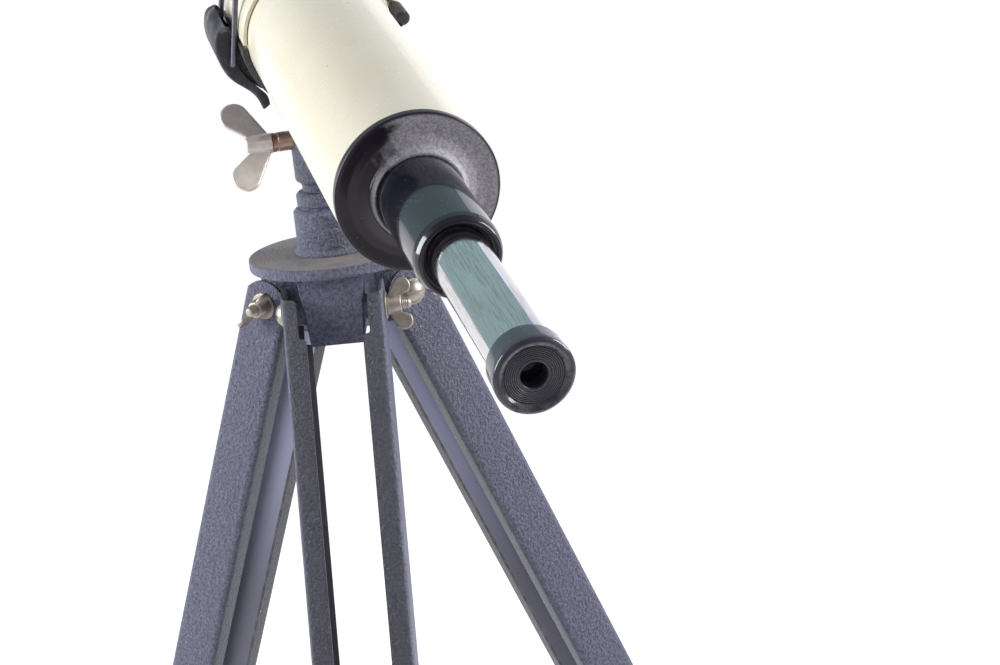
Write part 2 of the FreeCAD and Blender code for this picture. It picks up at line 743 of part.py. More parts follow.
def telescope_parts():
    inside = tube_r - tube_wall
    eye_in = eye_tube_r - eye_tube_wall
    cell_in = objective_r + 0.1
    parts = {
        "main_tube": plain_ring(tube_r, inside, tube_back, tube_front),
        "rear_cap": rear_cap(),
        "draw_tube_felt": plain_ring(focus_r + 1.6, focus_r + running, tube_back + cap_plug,
                                     tube_back + cap_plug + 8.0),
        "light_baffles": light_baffles(),
        "focus_tube": focus_tube(),
        "collar_ring": collar_ring(),
        "eyepiece_tube": plain_ring(eye_tube_r, eye_in, head_back, eye_tube_inner_end),
        "eyepiece_head": eyepiece_head(),
        "eye_lens": lens(6.9, head_back - 3.6, head_back - 1.6, 0.3, 1.2),
        "eyepiece_barrel": plain_ring(eye_in, 8.6, head_back + 6.0, head_back + 30.0),
        "field_stop": plain_ring(8.6, 5.5, head_back + 14.0, head_back + 15.0),
        "field_lens": lens(8.6, head_back + 25.0, head_back + 27.5, 0.3, 1.6),
        "erector_tube": plain_ring(eye_in, 8.8, -285.0, -225.0),
        "erector_lenses": Part.makeCompound([lens(8.8, station, station + 2.4, 1.0, 1.0)
                                             for station in (-279.0, -234.0)]),
        "objective_cell": optical([(inside, 316.0), (inside, tube_front), (tube_r, tube_front),
                                   (32.8, tube_front), (32.8, 352.0), (28.6, 352.0),
                                   (28.6, 346.0), (cell_in, 346.0), (cell_in, 332.0),
                                   (25.0, 332.0), (25.0, 316.0)]),
        "flint_lens": lens(objective_r, 332.0, 336.0, -0.5, -1.2),
        "lens_spacer": plain_ring(objective_r, 26.0, 336.0, 336.4),
        "crown_lens": lens(objective_r, 336.4, 340.4, 1.0, 1.8),
        "retaining_ring": plain_ring(cell_in, 25.4, 340.4, 345.0),
        "dew_shield": optical([(32.8, 334.0), (dew_r, 334.0), (dew_r, dew_front - 0.4),
                               (dew_r - 0.4, dew_front), (dew_r - dew_wall, dew_front),
                               (dew_r - dew_wall, 352.0), (32.8, 352.0)]),
    }
    return parts


def head_and_cradle_parts():
    return {
        "tripod_hub": tripod_hub(),
        "azimuth_post": azimuth_post(),
        "yoke": yoke(),
        "pan_screw": pan_screw(),
        "pan_washer": pan_washer(),
        "tilt_wing_bolt": tilt_wing_bolt(),
        "tilt_ferrule": tilt_ferrule(),
        "tilt_nut": tilt_nut(),
        "cradle_bracket": cradle_bracket(),
        "saddle_band": saddle_band(),
        "saddle_rivets": saddle_rivets(),
        "lower_liner": liner(184, 356),
        "strap": strap(),
        "strap_hook": strap_hook(),
        "upper_liner": liner(9, 180.5),
        "hinge_pin": pin_with_heads(hinge_at, cradle_back + 1.0, cradle_front - 1.0, 0.9),
        "latch_lever": latch_lever(),
        "lever_pin": pin_with_heads(lever_pivot, lever_back - 0.04, lever_front + 0.04, 0.15),
        "bail": bail(),
    }


def main():
    os.makedirs("parts", exist_ok=True)
    parts = head_and_cradle_parts()
    parts.update(telescope_parts())
    parts.update(leg_parts())
    for name, shape in parts.items():
        if not shape.isValid():
            print("not valid:", name)
        shape.exportStep("parts/" + name + ".step")
    print(len(parts), "nodes; disc top at", round(hub_top, 2))


main()
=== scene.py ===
"""Looks of the refractor telescope on its tripod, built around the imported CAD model."""

from math import asin, atan2, cos, hypot, pi, radians, sin

import bmesh
import bpy
from mathutils import Matrix, Vector


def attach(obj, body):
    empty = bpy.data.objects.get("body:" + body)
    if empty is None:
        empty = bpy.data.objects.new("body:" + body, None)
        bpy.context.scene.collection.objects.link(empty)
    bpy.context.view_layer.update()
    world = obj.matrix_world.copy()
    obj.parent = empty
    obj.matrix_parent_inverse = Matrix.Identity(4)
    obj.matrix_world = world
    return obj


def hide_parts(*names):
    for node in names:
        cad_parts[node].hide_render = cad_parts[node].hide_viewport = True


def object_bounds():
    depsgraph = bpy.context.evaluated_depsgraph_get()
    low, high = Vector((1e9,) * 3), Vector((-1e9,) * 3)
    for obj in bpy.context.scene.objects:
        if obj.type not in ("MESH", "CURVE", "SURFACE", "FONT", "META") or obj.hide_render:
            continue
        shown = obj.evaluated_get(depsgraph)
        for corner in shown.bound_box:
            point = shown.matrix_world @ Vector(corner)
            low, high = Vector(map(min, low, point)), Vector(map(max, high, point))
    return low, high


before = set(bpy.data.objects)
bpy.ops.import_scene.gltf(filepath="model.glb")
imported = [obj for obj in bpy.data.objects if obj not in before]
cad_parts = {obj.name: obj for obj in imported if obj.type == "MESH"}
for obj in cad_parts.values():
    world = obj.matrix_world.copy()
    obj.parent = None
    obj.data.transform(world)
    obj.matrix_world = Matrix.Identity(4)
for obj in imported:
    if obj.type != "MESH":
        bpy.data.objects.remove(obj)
cad_low, cad_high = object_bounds()
SCENE = bpy.context.scene

# ---- dimensions, in millimetres as in the CAD, angles in degrees ---------------------------
MM = 0.001
TUBE_R = 30.0
TUBE_WALL = 1.2
TUBE_BACK = -198.0
TUBE_FRONT = 330.0
CAP_FACE = -201.5
BOSS_R = 16.9
BOSS_END = -205.4
FOCUS_R = 15.5
COLLAR_BACK = -254.0
COLLAR_FACE = -261.0
EYE_TUBE_R = 10.5
HEAD_R = 12.9
HEAD_BACK = -337.5
HEAD_FACE = -348.5
EYE_HOLE_R = 4.3
DEW_R = 34.2
DEW_FRONT = 440.0
ELEVATION = 11.8
PAN = 8.9
AXIS_RISE = 54.0
TILT_HEIGHT = 51.4
POST_R = 15.6
LEG_ANGLE = -5.93
LEG_SPLAY = 21.8
PIVOT_OUT = 25.8
PIVOT_DROP = 21.6
LEG_HALF = 22.2
RAIL_DEPTH = 23.3
RAIL_FLANGE = 9.8
NARROW_FLANGE = 6.6
SHEET = 1.2
RAIL_BEND = 3.0
RAIL_LENGTH = 520.0
FOOT_REACH = 832.0
EXTENSION_TOP = 360.0
EXTENSION_END = 826.0
LEG_BOLT_R = 2.5
CLAMP_DROP = 506.0
CLAMP_BACK = 6.6
LINER_IN = TUBE_R + 0.15
LINER_OUT = LINER_IN + 1.0
BAND_OUT = LINER_OUT + 1.6
STRAP_OUT = LINER_OUT + 0.8
CRADLE_BACK = -22.0
CRADLE_FRONT = 34.0
LEVER_BACK = -8.0
LEVER_FRONT = 24.0
LEVER_PIVOT = (-37.2, 0.0)
BAIL_PIVOT = (-35.5, -12.7)
BAIL_TOP = (-31.0, 21.0)
WIRE_R = 1.2
HINGE_AT = (37.0, 2.0)
HINGE_R = 3.3
CAMERA_LENS = 80.28
CAMERA_BACK = 977.4
CAMERA_RISE = 222.66
CAMERA_YAW = -4.125
CAMERA_PITCH = -15.465
CAMERA_ROLL = 6.12

PIVOT_Z = FOOT_REACH * cos(radians(LEG_SPLAY))
HUB_TOP = PIVOT_Z + PIVOT_DROP
LEGS = (("front_leg", 0, 6.0), ("right_leg", 1, 20.0), ("left_leg", 2, 155.0))


def turn(axis, angle):
    return Matrix.Rotation(radians(angle), 4, axis)


def shift(x, y, z):
    return Matrix.Translation((x * MM, y * MM, z * MM))


IN_HUB = shift(0, 0, HUB_TOP)
AT_TILT = shift(0, 0, HUB_TOP + TILT_HEIGHT) @ turn("Z", PAN)
ON_TELESCOPE = AT_TILT @ turn("X", ELEVATION)
ON_AXIS = ON_TELESCOPE @ shift(0, 0, AXIS_RISE)


def on_leg(index):
    """A leg's frame: pivot at the origin, leg along -Z, outer side -Y."""
    around = turn("Z", LEG_ANGLE + 120.0 * index)
    return around @ shift(0, -PIVOT_OUT, PIVOT_Z) @ turn("X", -LEG_SPLAY)


# ---- materials -----------------------------------------------------------------------------
class Nodes:
    """A node tree; each method adds a node and returns the socket it makes."""

    def __init__(self, tree):
        self.tree = tree

    def node(self, kind, **settings):
        made = self.tree.nodes.new(kind)
        for key, value in settings.items():
            setattr(made, key, value)
        return made

    def feed(self, value, socket):
        if isinstance(value, bpy.types.NodeSocket):
            self.tree.links.new(value, socket)
        else:
            socket.default_value = value

    def step(self, value, low, high):
        """0 below low, 1 above high, smooth between; low above high turns it over."""
        made = self.node("ShaderNodeMapRange", interpolation_type="SMOOTHSTEP")
        if low > high:
            return self.flipped(self.step(value, high, low))
        self.feed(value, made.inputs["Value"])
        made.inputs["From Min"].default_value = low
        made.inputs["From Max"].default_value = high
        return made.outputs["Result"]

    def math(self, operation, a, b=0.0):
        made = self.node("ShaderNodeMath", operation=operation)
        self.feed(a, made.inputs[0])
        self.feed(b, made.inputs[1])
        return made.outputs[0]

    def times(self, a, b):
        return self.math("MULTIPLY", a, b)

    def plus(self, a, b):
        return self.math("ADD", a, b)

    def flipped(self, value):
        return self.math("SUBTRACT", 1.0, value)

    def mix(self, factor, a, b):
        made = self.node("ShaderNodeMix", data_type="RGBA")
        self.feed(factor, made.inputs["Factor"])
        for value, socket in ((a, made.inputs[6]), (b, made.inputs[7])):
            self.feed((*value, 1.0) if isinstance(value, tuple) else value, socket)
        return made.outputs[2]


class Shader(Nodes):
    """One procedural material."""

    def __init__(self, name, **constants):
        self.material = bpy.data.materials.new(name)
        self.material.use_nodes = True
        super().__init__(self.material.node_tree)
        self.bsdf = self.tree.nodes["Principled BSDF"]
        self.coords = self.node("ShaderNodeTexCoord").outputs["Object"]
        for socket, value in constants.items():
            self.bsdf.inputs[socket.replace("_", " ")].default_value = value

    def stretched(self, x, y, z, coords=None):
        mapping = self.node("ShaderNodeMapping")
        self.feed(coords or self.coords, mapping.inputs["Vector"])
        mapping.inputs["Scale"].default_value = (x, y, z)
        return mapping.outputs["Vector"]

    def noise(self, scale, detail=3.0, rough=0.55, distort=0.0, coords=None):
        made = self.node("ShaderNodeTexNoise")
        self.feed(coords or self.coords, made.inputs["Vector"])
        made.inputs["Scale"].default_value = scale
        made.inputs["Detail"].default_value = detail
        made.inputs["Roughness"].default_value = rough
        made.inputs["Distortion"].default_value = distort
        return made.outputs["Fac"]

    def cells(self, scale, feature="F1", coords=None, output="Distance"):
        made = self.node("ShaderNodeTexVoronoi", feature=feature)
        self.feed(coords or self.coords, made.inputs["Vector"])
        made.inputs["Scale"].default_value = scale
        return made.outputs[output]

    def axis(self, name, coords=None):
        made = self.node("ShaderNodeSeparateXYZ")
        self.feed(coords or self.coords, made.inputs[0])
        return made.outputs[name]

    def off_axis(self):
        """Distance from the object's Y axis."""
        x = self.axis("X")
        z = self.axis("Z")
        return self.math("SQRT", self.plus(self.times(x, x), self.times(z, z)))

    def facing(self, name):
        """A component of the surface normal in the world's directions."""
        geometry = self.node("ShaderNodeNewGeometry")
        return self.axis(name, geometry.outputs["Normal"])

    def blend(self, factor, a, b):
        """Number a where factor is 0, b where it is 1."""
        made = self.node("ShaderNodeMapRange")
        self.feed(factor, made.inputs["Value"])
        made.inputs["To Min"].default_value = a
        made.inputs["To Max"].default_value = b
        return made.outputs["Result"]

    def specks(self, colour, scale, size, where, tint):
        """Colour with small round specks of a tint where a mask lets them show."""
        dots = self.times(self.step(self.cells(scale), size, 0.05), where)
        return self.mix(dots, colour, tint)

    def bump(self, height, distance, below=None):
        made = self.node("ShaderNodeBump")
        made.inputs["Distance"].default_value = distance
        self.feed(height, made.inputs["Height"])
        if below is not None:
            self.feed(below, made.inputs["Normal"])
        return made.outputs["Normal"]

    def finish(self, colour, rough, normal):
        self.feed(colour, self.bsdf.inputs["Base Color"])
        self.feed(rough, self.bsdf.inputs["Roughness"])
        self.feed(normal, self.bsdf.inputs["Normal"])
        return self.material


def cream_enamel():
    s = Shader("cream_enamel", Coat_Weight=0.35, Coat_Roughness=0.06)
    patches = s.noise(9.0, 4.0, 0.6)
    colour = s.mix(s.step(patches, 0.35, 0.7), (0.78, 0.73, 0.57), (0.82, 0.785, 0.665))
    along = s.stretched(1.0, 0.12, 1.0)
    streaks = s.step(s.noise(160.0, 3.0, 0.6, 0.0, along), 0.52, 0.80)
    colour = s.mix(s.times(streaks, 0.22), colour, (0.66, 0.60, 0.38))
    stain = s.step(s.noise(60.0, 3.0, 0.5, 0.8), 0.70, 0.78)
    colour = s.mix(s.times(stain, 0.35), colour, (0.72, 0.68, 0.22))
    specks = s.step(s.cells(210.0), 0.11, 0.06)
    rare = s.step(s.noise(110.0, 1.0), 0.60, 0.66)
    specks = s.times(specks, rare)
    colour = s.mix(specks, colour, (0.28, 0.22, 0.14))
    rough = s.blend(s.noise(38.0, 4.0), 0.18, 0.36)
    return s.finish(colour, rough, s.bump(s.noise(900.0, 2.0), 0.000003))


def bakelite_dusty():
    """Cap: brown-black moulding with dust on its face, wiped clean in places; the dust is laid thicker
    towards the right and top, partly real dust and partly a painted highlight.
    """
    s = Shader("bakelite_dusty")
    # Painted highlight: this ramp lays the dust thicker towards the right and top of the face, where the
    # light falls; the noise on it is real dust.
    lean = s.plus(s.times(s.axis("X"), 26.0), s.times(s.axis("Z"), 19.0))
    cloud = s.noise(70.0, 4.0, 0.55, 0.5)
    dust = s.plus(lean, s.times(s.math("SUBTRACT", cloud, 0.5), 1.1))
    dust = s.step(dust, 0.02, 0.30)
    wipes = s.step(s.noise(42.0, 2.0, 0.45, 0.9, s.stretched(1.0, 1.0, 0.6)), 0.56, 0.59)
    dust = s.times(dust, s.flipped(wipes))
    radius = s.off_axis()
    dust = s.times(dust, s.step(radius, 0.0298, 0.0286))
    flare = s.times(s.step(radius, 0.0162, 0.0168), s.step(radius, 0.0180, 0.0170))
    dust = s.math("MAXIMUM", dust, s.times(flare, 0.5))
    dust = s.times(dust, s.step(s.axis("Y"), -0.2000, -0.2006))
    fine = s.noise(1100.0, 2.0, 0.7)
    powder = s.mix(s.step(fine, 0.30, 0.70), (0.35, 0.335, 0.36), (0.60, 0.58, 0.61))
    bare = s.mix(cloud, (0.014, 0.010, 0.016), (0.028, 0.020, 0.028))
    colour = s.mix(s.times(dust, s.blend(fine, 0.65, 1.0)), bare, powder)
    colour = s.specks(colour, 620.0, 0.12, s.step(cloud, 0.5, 0.6), (0.34, 0.31, 0.27))
    rough = s.plus(0.20, s.times(dust, 0.5))
    return s.finish(colour, rough, s.bump(fine, 0.00002))


def gloss_black():
    """Black lacquer with fine dust specks and faint rubbed rings."""
    s = Shader("gloss_black", Coat_Weight=0.4, Coat_Roughness=0.03)
    cloud = s.noise(120.0, 4.0, 0.6)
    colour = s.mix(cloud, (0.007, 0.007, 0.014), (0.013, 0.014, 0.024))
    specks = s.times(s.step(s.cells(760.0), 0.15, 0.05), s.step(cloud, 0.50, 0.58))
    colour = s.mix(specks, colour, (0.26, 0.27, 0.26))
    rings = s.noise(60.0, 5.0, 0.7, 0.0, s.stretched(0.3, 9.0, 0.3))
    rough = s.plus(s.blend(rings, 0.06, 0.20), s.times(specks, 0.4))
    return s.finish(colour, rough, s.bump(s.noise(700.0, 2.0), 0.000012))


def mouth_black():
    """Mouth of the draw tube: lacquer outside, grey dust in turned steps inside."""
    s = Shader("mouth_black", Coat_Weight=0.4, Coat_Roughness=0.04)
    radius = s.off_axis()
    cloud = s.noise(160.0, 4.0, 0.6, 0.3)
    colour = s.mix(cloud, (0.008, 0.008, 0.015), (0.015, 0.015, 0.025))
    inside = s.step(radius, 0.0134, 0.0130)
    turned = s.math("SINE", s.times(radius, 2.0 * pi / 0.0011))
    dust = s.times(inside, s.blend(s.step(turned, -0.6, 0.9), 0.35, 1.0))
    colour = s.mix(s.times(dust, 0.8), colour, (0.125, 0.110, 0.125))
    colour = s.specks(colour, 560.0, 0.14, s.step(cloud, 0.52, 0.6), (0.30, 0.29, 0.27))
    rough = s.plus(s.blend(cloud, 0.08, 0.16), s.times(inside, 0.50))
    return s.finish(colour, rough, s.bump(s.noise(700.0, 2.0), 0.000008))


def head_black():
    """Eyepiece head: gloss black, with grey turned rings in its face and dust round them."""
    s = Shader("head_black", Coat_Weight=0.2, Coat_Roughness=0.06)
    radius = s.off_axis()
    cloud = s.noise(210.0, 5.0, 0.65, 0.4)
    disc = s.step(radius, 0.0100, 0.0094)
    slope = s.times(s.step(radius, 0.0118, 0.0110), s.flipped(disc))
    face = s.step(s.axis("Y"), -0.344, -0.3455)
    turned = s.math("SINE", s.times(radius, 2.0 * pi / 0.000633))
    rings = s.times(s.step(turned, -0.2, 0.8), s.step(radius, 0.0054, 0.0057))
    colour = s.mix(cloud, (0.034, 0.036, 0.050), (0.060, 0.061, 0.080))
    colour = s.mix(s.times(s.times(disc, face), rings), colour,
                   (0.15, 0.14, 0.15))
    dust = s.times(s.times(slope, face), s.step(cloud, 0.40, 0.62))
    colour = s.mix(s.times(dust, 0.7), colour, (0.20, 0.18, 0.17))
    specks = s.times(s.step(s.cells(700.0), 0.16, 0.06), s.step(cloud, 0.5, 0.62))
    colour = s.mix(specks, colour, (0.40, 0.36, 0.31))
    rough = s.plus(0.13, s.times(s.times(disc, face), 0.22))
    return s.finish(colour, rough, s.bump(s.noise(900.0, 3.0), 0.00002))


def chrome_plate():
    """Bright plate, its brown wear in thin streaks along the tube."""
    s = Shader("chrome_plate", Metallic=1.0)
    along = s.stretched(1.0, 0.04, 1.0)
    fine = s.noise(1900.0, 5.0, 0.75, 0.0, along)
    broad = s.noise(190.0, 4.0, 0.65, 0.2, s.stretched(1.0, 0.12, 1.0))
    worn = s.times(s.step(fine, 0.42, 0.60), s.step(broad, 0.34, 0.54))
    colour = s.mix(fine, (0.74, 0.75, 0.76), (0.84, 0.85, 0.87))
    colour = s.mix(s.times(worn, 0.52), colour, (0.38, 0.27, 0.20))
    colour = s.mix(s.step(s.cells(620.0), 0.10, 0.05), colour, (0.35, 0.33, 0.30))
    rough = s.plus(s.blend(broad, 0.05, 0.11), s.times(worn, 0.14))
    return s.finish(colour, rough, s.bump(fine, 0.000002))


def satin_black():
    s = Shader("satin_black", Specular_IOR_Level=0.3)
    cloud = s.noise(140.0, 4.0, 0.6, 0.3)
    colour = s.mix(cloud, (0.024, 0.022, 0.029), (0.052, 0.049, 0.060))
    rubbed = s.step(s.noise(75.0, 5.0, 0.7, 0.9), 0.48, 0.68)
    # The rubbed grey is real wear, made stronger on the lever's top than lower down as a painted highlight
    # where light falls from above.
    high = s.step(s.axis("Z"), -0.016, -0.002)
    colour = s.mix(s.times(rubbed, s.blend(high, 0.3, 0.85)), colour, (0.19, 0.185, 0.205))
    rust = s.times(s.step(s.noise(300.0, 3.0), 0.66, 0.74), rubbed)
    colour = s.mix(rust, colour, (0.16, 0.075, 0.035))
    rough = s.blend(cloud, 0.42, 0.60)
    return s.finish(colour, rough, s.bump(s.noise(650.0, 3.0, 0.6), 0.00004))


def wrinkle_paint(name, dusty, dark=(0.074, 0.077, 0.114), light=(0.158, 0.167, 0.258),
                  flanges=0.0):
    """Wrinkle-finish paint: a leathery raised grain with a painted sheen on its crests, greyer where dust
    lies, with painted shade darkening the flanges.
    """
    s = Shader(name)
    grain = s.noise(680.0, 2.0, 0.5, 0.5)
    fine = s.noise(1700.0, 3.0, 0.6)
    height = s.plus(s.times(grain, 0.75), s.times(fine, 0.35))
    # The raised crests take the lighter colour: a painted sheen.
    painted_crest_sheen = s.step(height, 0.38, 0.74)
    colour = s.mix(painted_crest_sheen, dark, light)
    patches = s.noise(22.0, 4.0, 0.6)
    colour = s.mix(s.times(s.step(patches, 0.5, 0.75), 0.5), colour, (0.10, 0.10, 0.128))
    up = s.step(s.facing("Z"), 0.72, 0.97)
    lie = s.times(up, s.step(s.noise(55.0, 5.0, 0.65, 0.5), 0.30, 0.62))
    colour = s.mix(s.times(lie, dusty), colour, (0.225, 0.205, 0.190))
    # Painted shade: the faces of the flanges are darkened.
    if flanges > 0:
        beyond_web = s.step(s.math("ABSOLUTE", s.axis("Y")), 0.0104, 0.0112)
        colour = s.mix(s.times(beyond_web, flanges), colour, (0.030, 0.029, 0.040))
    chips = s.times(s.step(s.cells(110.0), 0.075, 0.05), s.step(patches, 0.55, 0.6))
    colour = s.mix(chips, colour, (0.42, 0.36, 0.27))
    rough = s.plus(s.blend(fine, 0.32, 0.48), s.times(lie, 0.3))
    return s.finish(colour, rough, s.bump(height, 0.0015))


def smooth_paint():
    """Inside of the channels: smooth grey-blue paint, streaked along the leg, rust specks; painted shade
    darkens it towards the lower end and near the flanges.
    """
    s = Shader("smooth_paint")
    along = s.stretched(1.0, 1.0, 0.06)
    streaks = s.noise(150.0, 4.0, 0.6, 0.2, along)
    colour = s.mix(streaks, (0.240, 0.248, 0.345), (0.350, 0.364, 0.500))
    # Painted shade: darker towards the lower end of the rail, where the light falls off down the leg.
    lower = s.step(s.axis("Z"), -0.085, -0.190)
    colour = s.mix(s.times(lower, 0.7), colour, (0.085, 0.085, 0.100))
    # Painted shade in the channel's inner corners, next to the flanges.
    near_flange = s.step(s.math("ABSOLUTE", s.axis("Y")), 0.0088, 0.0108)
    painted_corner_shade = s.mix(s.noise(240.0, 3.0), (0.060, 0.055, 0.055), (0.125, 0.115, 0.110))
    colour = s.mix(s.times(near_flange, 0.85), colour, painted_corner_shade)
    rust = s.times(s.step(s.cells(160.0), 0.13, 0.06), s.step(s.noise(40.0, 2.0), 0.55, 0.62))
    colour = s.mix(rust, colour, (0.21, 0.105, 0.055))
    rough = s.blend(streaks, 0.30, 0.46)
    return s.finish(colour, rough, s.bump(s.noise(500.0, 3.0), 0.00003))


def edge_paint():
    """Cut edges of the pressed sheet: paint rubbed thin, grey-brown, with bright chips."""
    s = Shader("edge_paint")
    cloud = s.noise(180.0, 4.0, 0.65, 0.4)
    colour = s.mix(s.step(cloud, 0.35, 0.65), (0.060, 0.056, 0.060), (0.150, 0.138, 0.130))
    chips = s.step(s.noise(95.0, 3.0, 0.6), 0.68, 0.73)
    colour = s.mix(chips, colour, (0.36, 0.30, 0.22))
    return s.finish(colour, s.blend(cloud, 0.40, 0.60), s.bump(s.noise(700.0, 3.0), 0.00006))


def cork():
    s = Shader("cork")
    grains = s.cells(620.0, "F1", output="Color")
    tone = s.axis("X", grains)
    colour = s.mix(tone, (0.19, 0.10, 0.035), (0.46, 0.29, 0.12))
    gaps = s.step(s.cells(620.0, "DISTANCE_TO_EDGE"), 0.10, 0.02)
    colour = s.mix(gaps, colour, (0.07, 0.035, 0.015))
    return s.finish(colour, s.blend(tone, 0.75, 0.92), s.bump(gaps, -0.00015))


def felt():
    s = Shader("felt", Sheen_Weight=0.4)
    fibres = s.noise(1400.0, 3.0, 0.6, 0.4)
    colour = s.mix(fibres, (0.030, 0.028, 0.036), (0.085, 0.080, 0.095))
    return s.finish(colour, s.blend(fibres, 0.85, 0.98), s.bump(fibres, 0.00004))


def tarnished(name, low, high, stain, rough_range, metallic=1.0):
    """Metal with soft tarnish, stained patches and small pits."""
    s = Shader(name, Metallic=metallic)
    cloud = s.noise(210.0, 4.0, 0.62, 0.5)
    colour = s.mix(s.step(cloud, 0.3, 0.7), low, high)
    patches = s.step(s.noise(120.0, 5.0, 0.7, 0.9), 0.56, 0.72)
    colour = s.mix(s.times(patches, 0.7), colour, stain)
    pits = s.times(s.step(s.cells(900.0), 0.14, 0.06), s.step(cloud, 0.46, 0.56))
    colour = s.mix(pits, colour, tuple(0.4 * c for c in stain))
    rough = s.blend(cloud, *rough_range)
    normal = s.bump(s.noise(800.0, 3.0, 0.6), 0.00003)
    return s.finish(colour, rough, s.bump(pits, -0.00004, normal))


def rusty_steel():
    s = Shader("rusty_steel", Metallic=0.75)
    cloud = s.noise(110.0, 4.0, 0.6, 0.5)
    colour = s.mix(s.step(cloud, 0.35, 0.65), (0.50, 0.36, 0.28), (0.26, 0.13, 0.075))
    rings = s.noise(900.0, 3.0, 0.6, 0.0, s.stretched(1.0, 0.15, 0.15))
    rough = s.blend(cloud, 0.28, 0.50)
    return s.finish(colour, rough, s.bump(rings, 0.00003))


def flat_black():
    s = Shader("flat_black")
    cloud = s.noise(150.0, 4.0)
    colour = s.mix(cloud, (0.006, 0.006, 0.006), (0.018, 0.018, 0.018))
    return s.finish(colour, s.blend(cloud, 0.7, 0.9), s.bump(s.noise(900.0), 0.00005))


def brass():
    s = Shader("brass", Metallic=1.0)
    turned = s.noise(240.0, 4.0, 0.6, 0.0, s.stretched(0.2, 6.0, 0.2))
    colour = s.mix(turned, (0.52, 0.36, 0.14), (0.70, 0.52, 0.24))
    return s.finish(colour, s.blend(turned, 0.22, 0.4), s.bump(turned, 0.00002))


def lens_glass():
    s = Shader("lens_glass", IOR=1.52, Transmission_Weight=1.0)
    dust = s.step(s.noise(420.0, 4.0, 0.7), 0.62, 0.80)
    colour = s.mix(dust, (0.93, 0.97, 0.96), (0.80, 0.80, 0.76))
    return s.finish(colour, s.blend(dust, 0.01, 0.12), s.bump(dust, 0.000004))


def dark_glass():
    """Eye lens with the dark inside of the eyepiece behind it."""
    s = Shader("dark_glass", IOR=1.45, Specular_IOR_Level=0.25)
    cloud = s.noise(300.0, 3.0)
    colour = s.mix(cloud, (0.010, 0.009, 0.018), (0.014, 0.012, 0.024))
    return s.finish(colour, s.blend(cloud, 0.04, 0.10), s.bump(cloud, 0.000002))


def rubber():
    s = Shader("rubber")
    cloud = s.noise(130.0, 5.0, 0.65)
    colour = s.mix(cloud, (0.012, 0.012, 0.012), (0.040, 0.038, 0.036))
    scuffs = s.step(s.noise(70.0, 5.0, 0.7, 0.6), 0.58, 0.72)
    colour = s.mix(s.times(scuffs, 0.5), colour, (0.11, 0.105, 0.10))
    return s.finish(colour, s.blend(cloud, 0.62, 0.85), s.bump(s.noise(600.0, 3.0), 0.0001))


MATERIALS = {
    "black_bakelite": bakelite_dusty(),
    "wrinkle_black": wrinkle_paint("wrinkle_black", 0.35),
    "wrinkle_dusty": wrinkle_paint("wrinkle_dusty", 1.0),
    # The rails' paint darkens their flanges as painted shade.
    "rail_black": wrinkle_paint("rail_black", 0.35, flanges=0.72),
    # A darker copy of the wrinkle paint for the saddle band: painted shade for the band, which sits in
    # shade under the tube.
    "band_in_shade": wrinkle_paint("band_in_shade", 0.2, (0.028, 0.027, 0.032), (0.070, 0.068, 0.080)),
    "nickel": tarnished("nickel", (0.68, 0.62, 0.57), (0.80, 0.75, 0.70), (0.56, 0.46, 0.37),
                        (0.32, 0.46), 0.5),
    "nut_plate": tarnished("nut_plate", (0.38, 0.34, 0.29), (0.52, 0.48, 0.42),
                           (0.24, 0.18, 0.12), (0.36, 0.52), 0.8),
    "steel": tarnished("steel", (0.40, 0.40, 0.42), (0.60, 0.60, 0.62), (0.25, 0.20, 0.17),
                       (0.24, 0.45)),
    "wire_steel": tarnished("wire_steel", (0.10, 0.10, 0.13), (0.19, 0.19, 0.23),
                            (0.09, 0.08, 0.08), (0.34, 0.50), 0.8),
}
for recipe in (cream_enamel, gloss_black, head_black, mouth_black, chrome_plate, satin_black,
               smooth_paint, edge_paint, cork, felt, rusty_steel, flat_black, brass, lens_glass,
               dark_glass, rubber):
    MATERIALS[recipe.__name__] = recipe()


# ---- meshes --------------------------------------------------------------------------------
def piece(name, mesh, matrix, material, body, *nodes):
    """A finished piece from a mesh in millimetres, in the frame that the matrix places."""
    mesh.name = name
    made = bpy.data.objects.new(name, mesh)
    SCENE.collection.objects.link(made)
    made.matrix_world = matrix
    if not mesh.materials:
        mesh.materials.append(MATERIALS[material])
    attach(made, body)
    if nodes:
        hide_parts(*nodes)
    return made


def mesh_from(vertices, faces):
    """Mesh from points in millimetres."""
    mesh = bpy.data.meshes.new("mesh")
    mesh.from_pydata([Vector(v) * MM for v in vertices], [], faces)
    mesh.validate()
    return mesh


def grid_faces(columns, rows, columns_close=False, rows_close=False):
    """Faces between the points of a grid listed column by column."""
    faces = []
    for column in range(columns if columns_close else columns - 1):
        after = (column + 1) % columns
        for row in range(rows if rows_close else rows - 1):
            below = (row + 1) % rows
            faces.append((column * rows + row, after * rows + row,
                          after * rows + below, column * rows + below))
    return faces


def cleaned(mesh):
    """Mesh without doubled points, its faces turned outwards."""
    bm = bmesh.new()
    bm.from_mesh(mesh)
    bmesh.ops.remove_doubles(bm, verts=bm.verts, dist=1e-7)
    bmesh.ops.recalc_face_normals(bm, faces=bm.faces)
    bm.to_mesh(mesh)
    bm.free()
    return mesh


def smooth(mesh, angle=32.0):
    mesh.shade_smooth()
    mesh.set_sharp_from_angle(angle=radians(angle))
    return mesh


